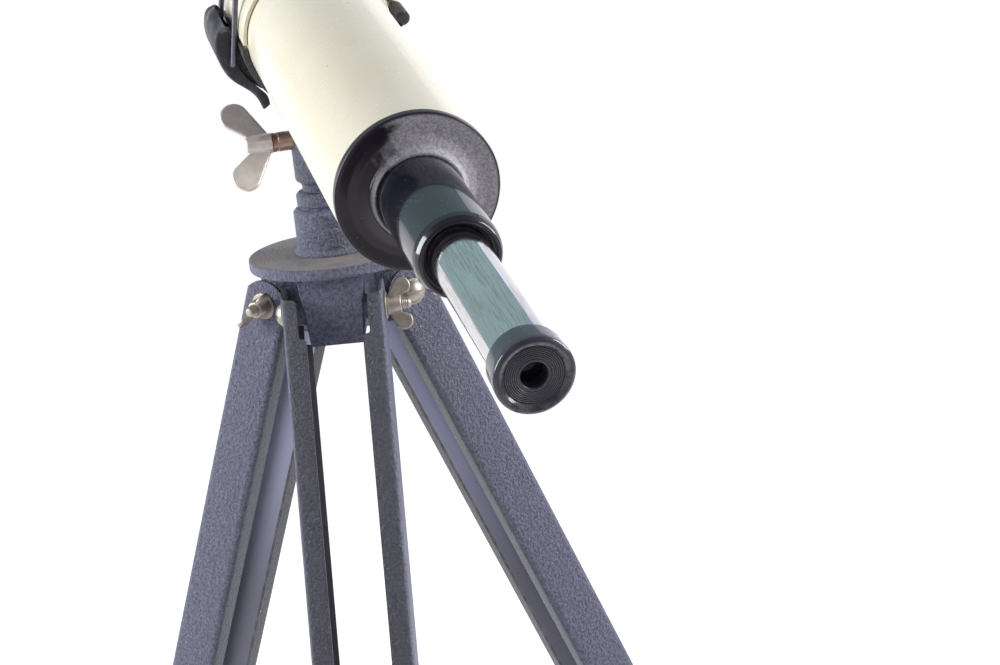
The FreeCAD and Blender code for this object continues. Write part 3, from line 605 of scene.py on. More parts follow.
def soft_outline(points, default=0.3, steps=4):
    """Outline with its corners rounded; a point is (a, b) or (a, b, radius)."""
    result = []
    count = len(points)
    for index, point in enumerate(points):
        corner = Vector(point[:2])
        radius = point[2] if len(point) > 2 else default
        if radius <= 0:
            result.append(tuple(corner))
            continue
        before = Vector(points[index - 1][:2]) - corner
        after = Vector(points[(index + 1) % count][:2]) - corner
        half = 0.5 * before.angle(after)
        if half > radians(87):
            result.append(tuple(corner))
            continue
        reach = min(radius / max(1e-6, sin(half) / cos(half)), 0.48 * before.length,
                    0.48 * after.length)
        start = corner + before.normalized() * reach
        end = corner + after.normalized() * reach
        for step in range(steps + 1):
            share = step / steps
            a = start.lerp(corner, share)
            b = corner.lerp(end, share)
            result.append(tuple(a.lerp(b, share)))
    return result


def lathe(outline, axis="Y", segments=160, start=0.0, sweep=360.0):
    """Surface of revolution from a closed (radius, station) outline, about Y, X or Z."""
    whole = abs(sweep - 360.0) < 1e-6
    columns = segments if whole else max(6, int(segments * abs(sweep) / 360.0)) + 1
    vertices = []
    for column in range(columns):
        share = column / (columns if whole else columns - 1)
        angle = radians(start + sweep * share)
        for radius, station in outline:
            a = radius * cos(angle)
            b = radius * sin(angle)
            point = {"Y": (a, station, b), "X": (station, a, b), "Z": (a, b, station)}[axis]
            vertices.append(point)
    rows = len(outline)
    faces = grid_faces(columns, rows, whole, True)
    if not whole:
        faces.append(tuple(range(rows)))
        faces.append(tuple((columns - 1) * rows + row for row in reversed(range(rows))))
    mesh = mesh_from(vertices, faces)
    return smooth(cleaned(mesh))


def spun(points, edge=0.3, steps=4, axis="Y", segments=160):
    """Lathe mesh of an outline with rounded corners."""
    return lathe(soft_outline(points, edge, steps), axis, segments)


def tube_outline(outer, inner, start, end, edge=0.3):
    return soft_outline([(inner, start), (outer, start), (outer, end), (inner, end)], edge)


def join(meshes, matrices=None):
    """One mesh from several, each moved by its matrix."""
    bm = bmesh.new()
    for index, mesh in enumerate(meshes):
        part = mesh.copy()
        if matrices:
            part.transform(matrices[index])
        bm.from_mesh(part)
    joined = bpy.data.meshes.new("mesh")
    bm.to_mesh(joined)
    bm.free()
    return joined


def baked(mesh, *modifiers):
    """The mesh after modifiers, each given as (type, settings)."""
    holder = bpy.data.objects.new("holder", mesh)
    SCENE.collection.objects.link(holder)
    for kind, settings in modifiers:
        modifier = holder.modifiers.new(kind.lower(), kind)
        for key, value in settings.items():
            setattr(modifier, key, value)
    depsgraph = bpy.context.evaluated_depsgraph_get()
    result = bpy.data.meshes.new_from_object(holder.evaluated_get(depsgraph))
    bpy.data.objects.remove(holder)
    return result


def bevelled(width, segments=2, angle=34.0):
    """Bevel modifier for baked(), with its width in millimetres."""
    return ("BEVEL", {"width": width * MM, "segments": segments, "limit_method": "ANGLE",
                      "angle_limit": radians(angle), "use_clamp_overlap": True,
                      "harden_normals": False})


def extruded(outline, start, end, plane="XZ"):
    """Prism from an outline in a plane, from one station to another along its normal."""
    place = {"XZ": lambda a, b, s: (a, s, b), "YZ": lambda a, b, s: (s, a, b),
             "XY": lambda a, b, s: (a, b, s)}[plane]
    count = len(outline)
    vertices = [place(a, b, start) for a, b in outline] + [place(a, b, end) for a, b in outline]
    faces = [tuple(range(count)), tuple(reversed(range(count, 2 * count)))]
    for index in range(count):
        after = (index + 1) % count
        faces.append((index, index + count, after + count, after))
    return cleaned(mesh_from(vertices, faces))


def folded(blank, fold, cuts, reach):
    """Sheet-metal mesh: a flat blank outline cut along its bend lines, then folded."""
    bm = bmesh.new()
    corners = [bm.verts.new((u, v, 0.0)) for u, v in blank]
    bm.faces.new(corners)
    planes = [((value, 0, 0), (1, 0, 0)) for u in cuts for value in (-u, u)]
    v = -reach
    while v < 0:
        planes.append(((0, v, 0), (0, 1, 0)))
        v += 40.0
    for point, normal in planes:
        geometry = bm.verts[:] + bm.edges[:] + bm.faces[:]
        bmesh.ops.bisect_plane(bm, geom=geometry, plane_co=point, plane_no=normal)
    for vertex in bm.verts:
        u, v, _ = vertex.co
        vertex.co = Vector(fold(u, v)) * MM
    mesh = bpy.data.meshes.new("sheet")
    bm.to_mesh(mesh)
    bm.free()
    return mesh


# ---- telescope -----------------------------------------------------------------------------
def build_tube():
    outline = tube_outline(TUBE_R, TUBE_R - TUBE_WALL, TUBE_BACK, TUBE_FRONT, 0.35)
    piece("cream_tube", lathe(outline, segments=224), ON_AXIS, "cream_enamel", "tube", "main_tube")


def build_rear_cap():
    rim = TUBE_R + 0.15
    bore = FOCUS_R + 0.06
    points = [(bore, TUBE_BACK + 10.0, 0), (28.75, TUBE_BACK + 10.0, 0), (28.75, TUBE_BACK + 0.02, 0),
              (rim, TUBE_BACK + 0.02, 0.25), (rim, CAP_FACE + 0.05, 1.1),
              (rim - 1.4, CAP_FACE + 0.1, 1.0), (rim - 5.0, CAP_FACE + 1.0, 4.0),
              (BOSS_R + 4.8, CAP_FACE + 1.0, 4.0), (BOSS_R + 1.2, CAP_FACE - 0.6, 2.0),
              (BOSS_R + 0.1, CAP_FACE - 2.8, 1.2), (BOSS_R - 0.3, BOSS_END, 0.7), (bore, BOSS_END, 0.2)]
    mesh = spun(points, 0.3, 7, segments=224)
    piece("end_cap", mesh, ON_AXIS, "black_bakelite", "tube", "rear_cap")


def build_focus_parts():
    focus = soft_outline([(FOCUS_R - 1.0, COLLAR_BACK), (FOCUS_R, COLLAR_BACK), (FOCUS_R, -150.0),
                          (FOCUS_R - 1.0, -150.0)], 0.0)
    piece("draw_tube_lacquer", lathe(focus), ON_AXIS, "gloss_black", "draw_tube", "focus_tube")
    bore = EYE_TUBE_R + 0.06
    f = COLLAR_FACE
    points = [(bore, f + 4.6, 0.2), (11.3, f + 4.2, 0.4), (12.0, f + 2.4, 0.5), (12.8, f + 1.6, 0.3),
              (13.1, f + 0.2, 0.2), (13.6, f, 0.4), (14.3, f + 0.5, 0.9), (15.1, f + 2.2, 1.4),
              (FOCUS_R, f + 4.4, 1.2), (FOCUS_R, COLLAR_BACK, 0), (FOCUS_R - 1.0, COLLAR_BACK, 0),
              (FOCUS_R - 1.0, COLLAR_BACK + 12.0, 0), (bore, COLLAR_BACK + 12.0, 0)]
    mesh = spun(points, 0.3, 5, segments=192)
    piece("rounded_mouth", mesh, ON_AXIS, "mouth_black", "draw_tube", "collar_ring")
    chrome = tube_outline(EYE_TUBE_R, EYE_TUBE_R - 0.8, HEAD_BACK, -215.0, 0.25)
    piece("chrome_tube", lathe(chrome), ON_AXIS, "chrome_plate", "eyepiece", "eyepiece_tube")


def build_eyepiece_head():
    """Rounded head with a lip at its front and fine turned ridges in its recessed face."""
    b = HEAD_BACK
    f = HEAD_FACE
    r = HEAD_R
    points = [(9.7, b + 6.0, 0), (9.7, b + 0.02, 0), (EYE_TUBE_R - 0.2, b + 0.02, 0.1),
              (r - 0.4, b + 0.02, 0.6), (r - 0.3, f + 3.7, 0.4), (r, f + 3.2, 0.3), (r, f + 0.9, 1.1),
              (r - 1.3, f - 0.1, 0.9), (r - 2.4, f + 0.4, 0.9), (9.7, f + 1.2, 0.2), (9.5, f + 1.6, 0.15)]
    ridges = 6
    outer = 9.4
    inner = 5.6
    pitch = (outer - inner) / ridges
    for index in range(ridges):
        radius = outer - index * pitch
        points += [(radius, f + 1.55, 0.05), (radius - 0.5 * pitch, f + 1.15, 0.12)]
    points += [(inner, f + 1.55, 0.05), (5.2, f + 1.25, 0.2), (4.6, f + 1.25, 0.2),
               (EYE_HOLE_R, f + 1.6, 0.2), (EYE_HOLE_R, b - 4.0, 0), (7.0, b - 4.0, 0), (7.0, b + 6.0, 0)]
    mesh = spun(points, 0.2, 4, segments=192)
    piece("eyepiece_cup", mesh, ON_AXIS, "head_black", "eyepiece", "eyepiece_head")


def build_front_parts():
    front = DEW_FRONT
    wall = DEW_R - 1.2
    points = [(32.8, 334.0, 0), (DEW_R, 334.0, 0.4), (DEW_R, front, 0.4), (wall, front, 0.4),
              (wall, 352.0, 0), (32.8, 352.0, 0)]
    mesh = spun(points, 0.3, 5, segments=224)
    for face in mesh.polygons:
        centre = face.center / MM
        within = hypot(centre.x, centre.z) < wall + 0.4 and centre.y < front - 1.0
        face.material_index = int(within)
    mesh.materials.append(MATERIALS["cream_enamel"])
    mesh.materials.append(MATERIALS["flat_black"])
    piece("dew_hood", mesh, ON_AXIS, "cream_enamel", "tube", "dew_shield")
    cell = [(28.8, 316.0, 0), (28.8, TUBE_FRONT, 0), (32.75, TUBE_FRONT, 0.5), (32.75, 352.0, 0.6),
            (28.6, 352.0, 0.5), (28.6, 346.2, 0.4), (27.1, 345.6, 0.2), (27.1, 332.0, 0), (25.0, 332.0, 0),
            (25.0, 316.0, 0)]
    mesh = spun(cell, 0.3, 5, segments=224)
    piece("lens_cell", mesh, ON_AXIS, "gloss_black", "tube", "objective_cell")
    ring = [(25.4, 340.5, 0.1), (27.05, 340.5, 0.1), (27.05, 344.9, 0.2), (26.6, 345.0, 0.2),
            (25.5, 343.6, 0.3)]
    mesh = spun(ring, 0.2, 4, segments=192)
    piece("lens_ring", mesh, ON_AXIS, "flat_black", "tube", "retaining_ring")


# ---- cradle --------------------------------------------------------------------------------
def shell(inner, outer, start, end, back, front, edge, lip=0.0):
    """Part of a tube round the telescope; angles from +X, anticlockwise seen from behind.

    A lip turns the two rims inwards, over the ends of the cork."""
    outline = [(inner, back), (outer, back), (outer, front), (inner, front)]
    if lip > 0:
        low = inner - lip
        outline = [(low, back), (outer, back), (outer, front), (low, front), (low, front - 0.9),
                   (inner, front - 0.9), (inner, back + 0.9), (low, back + 0.9)]
    mesh = lathe(soft_outline(outline, edge, 3), segments=224, start=start, sweep=end - start)
    return baked(mesh, bevelled(edge * 0.6, 2, 50.0))


def hinge_eye(back, front, side):
    """Hinge barrel with the curled sheet that joins it to the band."""
    x, z = HINGE_AT
    barrel = lathe(soft_outline([(1.5, back), (HINGE_R, back), (HINGE_R, front), (1.5, front)], 0.3),
                   segments=48)
    barrel.transform(shift(x, 0, z))
    leaf = [(LINER_OUT + 0.35, z + side * 1.2), (x, z + side * HINGE_R), (x, z - side * 0.4),
            (LINER_OUT + 0.35, z + side * 6.0)]
    return [barrel, extruded(leaf, back, front)]


def lever_ear(back, front):
    """Gusset on the band that carries the latch lever's pin."""
    x, z = LEVER_PIVOT
    root = -BAND_OUT + 1.0
    outline = [(root, -6.2), (root, -8.0), (-22.5, -23.0), (-23.5, -26.4), (-28.4, -22.2),
               (-32.8, -15.0), (-36.2, -9.0), (x - 2.6, z - 2.0), (x - 2.9, z), (x - 2.0, z + 2.1),
               (x, z + 2.9), (x + 2.3, z + 1.7)]
    return baked(extruded(soft_outline(outline, 0.9, 4), back, front), bevelled(0.2))


def build_cradle():
    band = [shell(LINER_OUT, BAND_OUT, 184, 356, CRADLE_BACK, CRADLE_FRONT, 0.25, 0.75),
            lever_ear(LEVER_BACK + 1.5, LEVER_BACK + 3.9),
            lever_ear(LEVER_FRONT - 3.9, LEVER_FRONT - 1.5)]
    band += hinge_eye(CRADLE_BACK + 1.0, -7.0, -1)
    band += hinge_eye(19.0, CRADLE_FRONT - 1.0, -1)
    # The band takes the darker copy of the wrinkle paint, which is painted shade.
    piece("lower_band", smooth(join(band)), ON_AXIS, "band_in_shade", "cradle", "saddle_band")
    strap = [shell(LINER_OUT, STRAP_OUT, 9, 180.5, CRADLE_BACK, CRADLE_FRONT, 0.2, 0.75)]
    strap += hinge_eye(-6.6, 18.6, 1)
    piece("cream_strap", smooth(join(strap)), ON_AXIS, "cream_enamel", "strap_body", "strap")
    for name, body, start, end in (("lower_liner", "cradle", 184, 356),
                                   ("upper_liner", "strap_body", 9, 180.5)):
        mesh = shell(LINER_IN, LINER_OUT, start, end, CRADLE_BACK + 0.95, CRADLE_FRONT - 0.95, 0.15)
        piece(name.replace("liner", "cork"), mesh, ON_AXIS, "cork", body, name)


LEVER_LINE = [(-37.2, 4.6), (-40.4, 3.0), (-41.9, -0.8), (-42.2, -5.5), (-41.2, -11.0),
              (-38.8, -16.8), (-35.8, -20.8), (-32.2, -23.8), (-28.6, -26.9), (-26.0, -30.6),
              (-24.2, -35.2)]
LEVER_INNER = [(-35.2, 3.6), (-34.4, 1.6), (-35.2, -4.0), (-34.6, -10.4), (-30.6, -18.8),
               (-25.2, -25.2), (-22.0, -29.0), (-21.2, -33.0)]


def resample(points, count):
    """Evenly spaced points on a smooth curve through the given ones."""
    dense = []
    for index in range(len(points) - 1):
        p0 = Vector(points[max(index - 1, 0)])
        p1 = Vector(points[index])
        p2 = Vector(points[index + 1])
        p3 = Vector(points[min(index + 2, len(points) - 1)])
        for step in range(12):
            t = step / 12
            dense.append(0.5 * (2 * p1 + (p2 - p0) * t + (2 * p0 - 5 * p1 + 4 * p2 - p3) * t * t
                                + (3 * p1 - p0 - 3 * p2 + p3) * t ** 3))
    dense.append(Vector(points[-1]))
    lengths = [0.0]
    for a, b in zip(dense, dense[1:]):
        lengths.append(lengths[-1] + (b - a).length)
    result = []
    at = 0
    for step in range(count):
        target = lengths[-1] * step / (count - 1)
        while at < len(dense) - 2 and lengths[at + 1] < target:
            at += 1
        span = lengths[at + 1] - lengths[at]
        result.append(dense[at].lerp(dense[at + 1], (target - lengths[at]) / max(span, 1e-9)))
    return result


def build_lever():
    """Pressed channel: a U section swept down the lever's back, its flanges reaching inward."""
    count = 56
    back_line = resample(LEVER_LINE, count)
    inner_line = resample(LEVER_INNER, count)
    bend = 1.6
    arc_steps = 5
    vertices = []
    for back, inner in zip(back_line, inner_line):
        across = inner - back
        depth = across.length
        inward = across.normalized()
        section = [(LEVER_BACK, depth), (LEVER_BACK, bend)]
        for step in range(1, arc_steps + 1):
            angle = 0.5 * pi * step / arc_steps
            section.append((LEVER_BACK + bend * (1 - cos(angle)), bend * (1 - sin(angle))))
        mirrored = [(LEVER_FRONT + LEVER_BACK - y, d) for y, d in reversed(section)]
        for y, d in section + mirrored:
            point = back + inward * d
            vertices.append((point.x, y, point.y))
    mesh = mesh_from(vertices, grid_faces(count, len(vertices) // count))
    centre = Vector((-30.0 * MM, 8.0 * MM, -8.0 * MM))
    orient_away(mesh, centre)
    solid = ("SOLIDIFY", {"thickness": SHEET * MM, "offset": -1.0, "use_even_offset": True})
    mesh = baked(mesh, solid, bevelled(0.3, 3, 50.0))
    piece("channel_lever", smooth(mesh, 40.0), ON_AXIS, "satin_black", "lever_body", "latch_lever")


def orient_away(mesh, centre):
    """Turn all faces the same way, with the first ones facing away from a point."""
    bm = bmesh.new()
    bm.from_mesh(mesh)
    bmesh.ops.recalc_face_normals(bm, faces=bm.faces)
    total = sum((face.calc_center_median() - centre).dot(face.normal) * face.calc_area()
                for face in bm.faces)
    if total < 0:
        bmesh.ops.reverse_faces(bm, faces=bm.faces)
    bm.to_mesh(mesh)
    bm.free()


def build_bail():
    """Bent wire loop, swept as one round tube with rounded ends."""
    gap = 0.35
    back = LEVER_BACK - WIRE_R - gap
    front = LEVER_FRONT + WIRE_R + gap
    inside = SHEET + gap + WIRE_R
    low = Vector((BAIL_PIVOT[0], 0, BAIL_PIVOT[1]))
    high = Vector((BAIL_TOP[0], 0, BAIL_TOP[1]))
    y = Vector((0, 1, 0))
    corners = [low + y * (back + inside), low + y * back, high + y * back, high + y * front,
               low + y * front, low + y * (front - inside)]
    path = [corners[0]]
    for index in range(1, 5):
        radius = 1.25 if index in (1, 4) else 2.6
        into = (corners[index - 1] - corners[index]).normalized()
        out = (corners[index + 1] - corners[index]).normalized()
        for step in range(9):
            angle = 0.5 * pi * step / 8
            path.append(corners[index] + into * radius * (1 - sin(angle))
                        + out * radius * (1 - cos(angle)))
    path.append(corners[-1])
    piece("wire_bail", swept(path, WIRE_R, 20), ON_AXIS, "wire_steel", "bail_body", "bail")


def swept(path, radius, sides):
    """Round wire along a path of points in millimetres, with rounded ends."""
    path = [p for index, p in enumerate(path) if index == 0 or (p - path[index - 1]).length > 1e-4]
    tangents = []
    for index in range(len(path)):
        before = path[max(index - 1, 0)]
        after = path[min(index + 1, len(path) - 1)]
        tangents.append((after - before).normalized())
    side = tangents[0].orthogonal().normalized()
    rings = []
    for point, tangent in zip(path, tangents):
        side = (side - tangent * side.dot(tangent)).normalized()
        rings.append((point, tangent, side, radius))
    caps = 4
    for step in range(1, caps):
        angle = 0.5 * pi * step / caps
        offset = 0.35 * radius * sin(angle)
        for place, end, away in ((0, path[0], -tangents[0]), (len(rings), path[-1], tangents[-1])):
            _, tangent, side, _ = rings[0 if place == 0 else -1]
            rings.insert(place, (end + away * offset, tangent, side, radius * cos(angle)))
    vertices = []
    for point, tangent, side, size in rings:
        other = tangent.cross(side)
        for k in range(sides):
            angle = 2 * pi * k / sides
            vertices.append(point + side * size * cos(angle) + other * size * sin(angle))
    faces = grid_faces(len(rings), sides, rows_close=True)
    faces += [tuple(range(sides)), tuple(range(len(vertices) - sides, len(vertices)))]
    return smooth(cleaned(mesh_from(vertices, faces)), 50.0)


# ---- wing bolt and wing nuts ---------------------------------------------------------------
def ear(hub_r, hub_length, tip, tip_r, thick):
    """One cast leaf in the XZ plane, from the hub's side to a round tip."""
    lean = atan2(tip[1] - 0.4 * hub_r, tip[0] - 0.45 * hub_length)
    outline = [(0.9 * hub_length, 0.0), (0.04 * hub_length, 0.0), (0.04 * hub_length, 0.8 * hub_r)]
    for step in range(17):
        angle = lean + radians(100 - 12.5 * step)
        outline.append((tip[0] + tip_r * cos(angle), tip[1] + tip_r * sin(angle)))
    outline.append((0.9 * hub_length, 0.75 * hub_r))
    return baked(extruded(outline, -0.5 * thick, 0.5 * thick), bevelled(0.34 * thick, 3))


def winged(hub_r, hub_length, tip, tip_r, thick, bore, voxel):
    """Cast hub along +X with two leaves, melted together as a casting is."""
    hub = [(0.0, 0.0, 0), (hub_r, 0.0, 0.4), (hub_r * 0.98, hub_length * 0.55, 1.5),
           (hub_r * 0.82, hub_length, 0.8), (0.0, hub_length, 0)]
    parts = [spun(hub, 0.4, 5, "X", 64)]
    upper = ear(hub_r, hub_length, tip, tip_r, thick)
    lower = upper.copy()
    lower.transform(turn("X", 180.0))
    parts += [upper, lower]
    melt = ("REMESH", {"mode": "VOXEL", "voxel_size": voxel * MM, "adaptivity": 0.0})
    relax = ("SMOOTH", {"factor": 0.5, "iterations": 5})
    mesh = baked(join(parts), melt, relax)
    if bore > 0:
        mesh = carved(mesh, rod(bore, -1.0, hub_length + 2.0, 40))
    return smooth(mesh, 55.0)


def carved(mesh, cutter):
    """Mesh less a cutter mesh."""
    tool = bpy.data.objects.new("cutter", cutter)
    SCENE.collection.objects.link(tool)
    result = baked(mesh, ("BOOLEAN", {"object": tool, "operation": "DIFFERENCE", "solver": "EXACT"}))
    bpy.data.objects.remove(tool)
    return result


def rod(radius, start, end, sides):
    return lathe([(0.0, start), (radius, start), (radius, end), (0.0, end)], "X", sides)


def threaded(radius, start, end, pitch):
    """Round bar along +X from start to end, with turned thread ridges and a domed tip."""
    outline = [(0.0, start, 0)]
    station = start
    while station < end - 1.2:
        outline.append((radius, station, 0.05))
        outline.append((radius - 0.32, station + 0.5 * pitch, 0.05))
        station += pitch
    outline += [(radius - 0.1, station, 0.1), (radius - 0.8, end, 0.4), (0.0, end, 0)]
    return spun(outline, 0.1, 2, "X", 40)


def build_wing_bolt():
    hub_at = -21.2
    body = winged(4.6, 11.6, (13.9, 14.6), 6.5, 2.6, 0.0, 0.22)
    body.transform(shift(hub_at, 0, 0) @ turn("X", -34) @ turn("Z", 180))
    shank = rod(3.0, hub_at - 1.0, 12.0, 40)
    tip = threaded(3.0, 11.0, 19.8, 1.0)
    mesh = join([body, shank, tip])
    piece("wing_bolt", smooth(mesh, 55.0), AT_TILT, "nickel", "tilt_bolt", "tilt_wing_bolt")
    sleeve = [(3.05, -21.1, 0.1), (4.3, -21.1, 0.4), (4.3, -19.6, 0.1), (4.05, -19.3, 0.1),
              (4.05, -18.6, 0.1), (4.3, -18.3, 0.1), (4.3, -12.1, 0.2), (3.05, -12.1, 0)]
    mesh = spun(sleeve, 0.2, 3, "X", 64)
    piece("brown_ferrule", mesh, AT_TILT, "rusty_steel", "yoke_body", "tilt_ferrule")


# ---- legs ----------------------------------------------------------------------------------
def channel(half, bend):
    """Bent channel: its section, the blank's half width up to the flanges, and the cut lines.

    The section says where a point of the blank lies, across the web and in depth."""
    flat = half - bend
    arc = 0.5 * pi * bend

    def section(u):
        away = abs(u)
        sign = 1 if u > 0 else -1
        if away <= flat:
            return sign * away, 0.0
        if away <= flat + arc:
            angle = (away - flat) / bend
            return sign * (flat + bend * sin(angle)), bend * (1 - cos(angle))
        return sign * half, bend + away - flat - arc

    return section, flat + arc, [flat + arc * k / 6 for k in range(7)]


def pressed(mesh, centre):
    """Sheet with its thickness; outside, inside and cut edges each have their own paint."""
    orient_away(mesh, centre)
    solid = ("SOLIDIFY", {"thickness": SHEET * MM, "offset": -1.0, "use_even_offset": True,
                          "material_offset": 1, "material_offset_rim": 2})
    for name in ("rail_black", "smooth_paint", "edge_paint"):
        mesh.materials.append(MATERIALS[name])
    return smooth(baked(mesh, solid, bevelled(0.28, 3, 50.0)), 40.0)


def rail_mesh(side):
    half_depth = RAIL_DEPTH / 2
    section, reach, cuts = channel(half_depth, RAIL_BEND)

    def fold(u, v):
        across, depth = section(u)
        return side * (LEG_HALF - depth), across, v

    wide = reach + RAIL_FLANGE - RAIL_BEND
    narrow = reach + NARROW_FLANGE - RAIL_BEND
    crown = [(half_depth * sin(radians(t)), half_depth * cos(radians(t)), 0) for t in range(0, 60, 6)]
    right = crown + [(10.4, 5.4, 1.0), (13.0, 4.45, 1.0), (narrow, 4.4, 2.6), (narrow, -12.8, 1.0),
                     (wide, -13.2, 1.6), (wide, -RAIL_LENGTH, 2.5)]
    left = [(-p[0], *p[1:]) for p in reversed(right[1:])]
    blank = soft_outline(right + left, 0.0, 5)
    return pressed(folded(blank, fold, cuts, RAIL_LENGTH), Vector((0, 0, -0.25)))


def extension_mesh():
    play = 0.25
    half = LEG_HALF - SHEET - play
    front = RAIL_DEPTH / 2 - SHEET - play
    bend = 2.2
    section, reach, cuts = channel(half, bend)

    def fold(u, v):
        across, depth = section(u)
        return across, depth - front, v

    wide = reach + front + 3.0 - bend
    blank = soft_outline([(-wide, -EXTENSION_END, 0), (wide, -EXTENSION_END, 0),
                          (wide, -EXTENSION_TOP, 3.0), (-wide, -EXTENSION_TOP, 3.0)], 0.0, 5)
    return pressed(folded(blank, fold, cuts, EXTENSION_END), Vector((0, 0.03, -0.6)))


def bolt_mesh():
    """Slotted dome head, washers and threaded end of one leg bolt along X."""
    seat = -LEG_HALF - 1.0
    rise = 3.0
    wide = 5.2
    sphere_r = (wide ** 2 + rise ** 2) / (2 * rise)
    dome = [(0.0, seat - rise)]
    for step in range(1, 9):
        angle = asin(wide / sphere_r) * step / 8
        dome.append((sphere_r * sin(angle), seat - rise + sphere_r * (1 - cos(angle))))
    dome += [(wide - 0.1, seat - 0.02), (0.0, seat - 0.02)]
    head = lathe(dome, "X", 64)
    slot = extruded([(seat - rise - 1, -6.0), (seat - rise + 1.3, -6.0), (seat - rise + 1.3, 6.0),
                     (seat - rise - 1, 6.0)], -0.6, 0.6, "XY")
    slot.transform(turn("X", 24.0))
    head = baked(carved(head, slot), bevelled(0.14, 2, 40.0))
    shank = rod(LEG_BOLT_R, seat, LEG_HALF + 6, 32)
    end = threaded(LEG_BOLT_R, LEG_HALF + 5.5, LEG_HALF + 11.5, 0.8)
    washers = []
    for x0 in (seat, LEG_HALF):
        outline = [(LEG_BOLT_R, x0 + 0.02), (6.0, x0 + 0.02), (6.0, x0 + 0.98), (LEG_BOLT_R, x0 + 0.98)]
        washers.append(spun(outline, 0.25, 3, "X", 48))
    return smooth(join([head, shank, end] + washers), 40.0)


def build_legs():
    rails = {1: rail_mesh(1), -1: rail_mesh(-1)}
    lower = extension_mesh()
    bolt = bolt_mesh()
    bolts = smooth(join([bolt, bolt], [Matrix(), shift(0, CLAMP_BACK, -CLAMP_DROP)]), 40.0)
    nut = winged(4.4, 6.4, (6.9, 7.7), 3.9, 1.9, LEG_BOLT_R + 0.02, 0.16)
    for name, index, turned in LEGS:
        matrix = on_leg(index)
        for side, label in ((-1, "left"), (1, "right")):
            piece(f"{name}_channel_{label}", rails[side].copy(), matrix, "wrinkle_black", name,
                  f"{name}_rail_{label}")
        piece(f"{name}_fasteners", bolts.copy(), matrix, "nut_plate", name, f"{name}_bolts")
        piece(f"{name}_lower_channel", lower.copy(), matrix, "wrinkle_black", f"{name}_lower",
              f"{name}_extension")
        seat = matrix @ shift(LEG_HALF + 1.0, 0, 0) @ turn("X", turned)
        piece(f"{name}_pivot_wingnut", nut.copy(), seat, "nut_plate", f"{name}_pivot_wing",
              f"{name}_pivot_nut")
        seat = matrix @ shift(LEG_HALF + 1.0, CLAMP_BACK, -CLAMP_DROP) @ turn("X", 90)
        piece(f"{name}_clamp_wingnut", nut.copy(), seat, "nut_plate", f"{name}_clamp_wing",
              f"{name}_clamp_nut")


# ---- head ----------------------------------------------------------------------------------
def build_post():
    points = [(7.55, -13.0, 0), (10.95, -13.0, 0), (10.95, 0.02, 0), (17.0, 0.02, 0.1), (17.0, 1.0, 0.8),
              (POST_R, 2.6, 1.5), (POST_R, 18.9, 1.0), (14.2, 20.2, 0.8), (12.5, 20.5, 0.3),
              (12.5, 21.4, 0.4), (13.4, 21.9, 0.5), (13.4, 26.4, 0.8), (12.2, 27.55, 0.4),
              (7.55, 27.55, 0)]
    mesh = spun(points, 0.3, 5, "Z", 128)
    piece("turned_post", mesh, IN_HUB, "wrinkle_black", "head", "azimuth_post")


# ---- carried-over CAD nodes ----------------------------------------------------------------
CAD_FINISH = {
    ("wrinkle_dusty", 0.8): ("tripod_hub",),
    ("wrinkle_black", 0.7): ("yoke",),
    ("wrinkle_black", 0.6): ("cradle_bracket",),
    ("steel", 0.3): ("pan_screw",),
    ("steel", 0.25): ("saddle_rivets",),
    ("steel", 0.2): ("pan_washer",),
    ("nickel", 0.3): ("tilt_nut",),
    ("satin_black", 0.2): ("strap_hook", "hinge_pin"),
    ("satin_black", 0.05): ("lever_pin",),
    ("felt", 0.0): ("draw_tube_felt",),
    ("flat_black", 0.0): ("light_baffles", "eyepiece_barrel", "field_stop", "lens_spacer"),
    ("lens_glass", 0.0): ("field_lens", "erector_lenses", "flint_lens", "crown_lens"),
    ("dark_glass", 0.0): ("eye_lens",),
    ("brass", 0.0): ("erector_tube",),
    ("rubber", 0.6): [f"{leg[0]}_foot" for leg in LEGS],
}


def finish_cad_node(name, finish, edge):
    """Give a CAD node its material, and soften its edges with modifiers."""
    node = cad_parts[name]
    node.data.materials.clear()
    node.data.materials.append(MATERIALS[finish])
    if edge > 0:
        weld = node.modifiers.new("weld", "WELD")
        weld.merge_threshold = 0.000002
        bevel = node.modifiers.new("bevel", "BEVEL")
        bevel.width = edge * MM
        bevel.segments = 3
        bevel.limit_method = "ANGLE"
        bevel.angle_limit = radians(40)
    normals = node.modifiers.new("normals", "WEIGHTED_NORMAL")
    normals.keep_sharp = True


def build_cad_finishes():
    for (finish, edge), names in CAD_FINISH.items():
        for name in names:
            finish_cad_node(name, finish, edge)


# ---- floor, light and camera ---------------------------------------------------------------
def build_floor():
    bm = bmesh.new()
    bmesh.ops.create_grid(bm, x_segments=8, y_segments=8, size=40.0)
    mesh = bpy.data.meshes.new("floor")
    bm.to_mesh(mesh)
    bm.free()
    floor = bpy.data.objects.new("floor", mesh)
    SCENE.collection.objects.link(floor)
    floor.location = (0.0, 0.0, cad_low.z - 0.0004)
    s = Shader("floor_white", Emission_Color=(1.0, 1.0, 1.0, 1.0))
    s.feed(s.blend(s.step(s.axis("Y"), -0.3, 0.9), 0.05, 0.6), s.bsdf.inputs["Emission Strength"])
    tone = s.noise(0.8, 2.0)
    colour = s.mix(tone, (0.93, 0.94, 0.95), (0.95, 0.95, 0.955))
    mesh.materials.append(s.finish(colour, s.blend(tone, 0.7, 0.8), s.bump(tone, 0.0)))


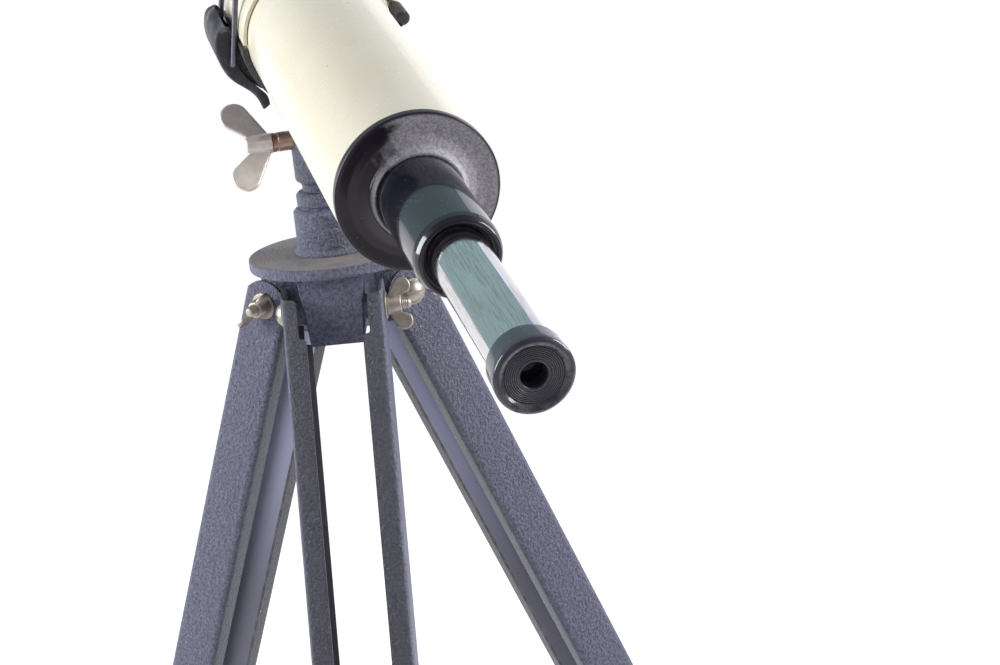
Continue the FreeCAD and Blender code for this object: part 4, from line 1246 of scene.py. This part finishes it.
def build_world():
    """White at the sides and beyond, darker above and in front, with one teal wall panel."""
    world = bpy.data.worlds.new("studio")
    SCENE.world = world
    world.use_nodes = True
    w = Nodes(world.node_tree)
    coords = w.node("ShaderNodeTexCoord").outputs["Generated"]
    rotation = ON_TELESCOPE.to_3x3()

    def along(direction):
        dot = w.node("ShaderNodeVectorMath", operation="DOT_PRODUCT")
        w.feed(coords, dot.inputs[0])
        w.feed(direction, dot.inputs[1])
        return dot.outputs["Value"]

    def around(angle):
        """How far a ray points across the tube, degrees from its top towards its right."""
        return along(rotation @ Vector((sin(radians(angle)), 0, cos(radians(angle)))))

    def wedge(right, left, edge):
        across = w.times(w.step(around(right - 90.0), -edge, edge),
                         w.step(around(left + 90.0), -edge, edge))
        return w.times(across, w.step(along(rotation @ Vector((0, 1, 0))), 0.35, 0.55))

    sharp_ray = w.flipped(w.node("ShaderNodeLightPath").outputs["Is Diffuse Ray"])
    colour = w.mix(w.step(along(Vector((0, 0, 1))), 0.40, 0.88), WALL_COLOUR, CEILING_COLOUR)
    colour = w.mix(w.step(along(Vector((0, -1, 0))), 0.25, 0.75), colour, FRONT_COLOUR)
    panel = w.times(wedge(PANEL_RIGHT, PANEL_LEFT, 0.01), sharp_ray)
    colour = w.mix(panel, colour, PANEL_COLOUR)
    trim = w.times(wedge(PANEL_RIGHT + 2.5, PANEL_RIGHT - 1.0, 0.008), sharp_ray)
    colour = w.mix(trim, colour, TRIM_COLOUR)
    background = w.tree.nodes["Background"]
    w.feed(colour, background.inputs["Color"])
    background.inputs["Strength"].default_value = WORLD_STRENGTH


PANEL_RIGHT = 64.0
PANEL_LEFT = -107.0
PANEL_COLOUR = (0.35, 0.49, 0.51)
TRIM_COLOUR = (0.08, 0.14, 0.50)
WALL_COLOUR = (1.0, 1.01, 1.09)
CEILING_COLOUR = (0.26, 0.23, 0.20)
FRONT_COLOUR = (0.22, 0.22, 0.28)
WORLD_STRENGTH = 0.9


def soft_light(name, location, target, size, power):
    data = bpy.data.lights.new(name, "AREA")
    data.shape = "SQUARE"
    data.size = size
    data.energy = power
    made = bpy.data.objects.new(name, data)
    SCENE.collection.objects.link(made)
    made.location = location
    aim = Vector(target) - Vector(location)
    made.rotation_mode = "QUATERNION"
    made.rotation_quaternion = aim.to_track_quat("-Z", "Y")


def build_lights():
    centre = (0.0, 0.0, 0.88)
    soft_light("left_softbox", (-1.3, -0.12, 1.2), centre, 0.8, 20.0)
    soft_light("right_softbox", (1.3, -0.12, 1.25), centre, 0.8, 21.0)


def build_camera():
    data = bpy.data.cameras.new("camera")
    data.lens = CAMERA_LENS
    data.sensor_width = 36.0
    data.clip_end = 100.0
    camera = bpy.data.objects.new("camera", data)
    SCENE.collection.objects.link(camera)
    place = shift(0.0, -CAMERA_BACK, HUB_TOP + CAMERA_RISE)
    aim = turn("Z", CAMERA_YAW) @ turn("X", 90.0 + CAMERA_PITCH) @ turn("Z", -CAMERA_ROLL)
    camera.matrix_world = place @ aim
    SCENE.camera = camera


build_tube()
build_rear_cap()
build_focus_parts()
build_eyepiece_head()
build_front_parts()
build_cradle()
build_lever()
build_bail()
build_wing_bolt()
build_legs()
build_post()
build_cad_finishes()
build_floor()
build_world()
build_lights()
build_camera()
SCENE.view_settings.view_transform = "Standard"
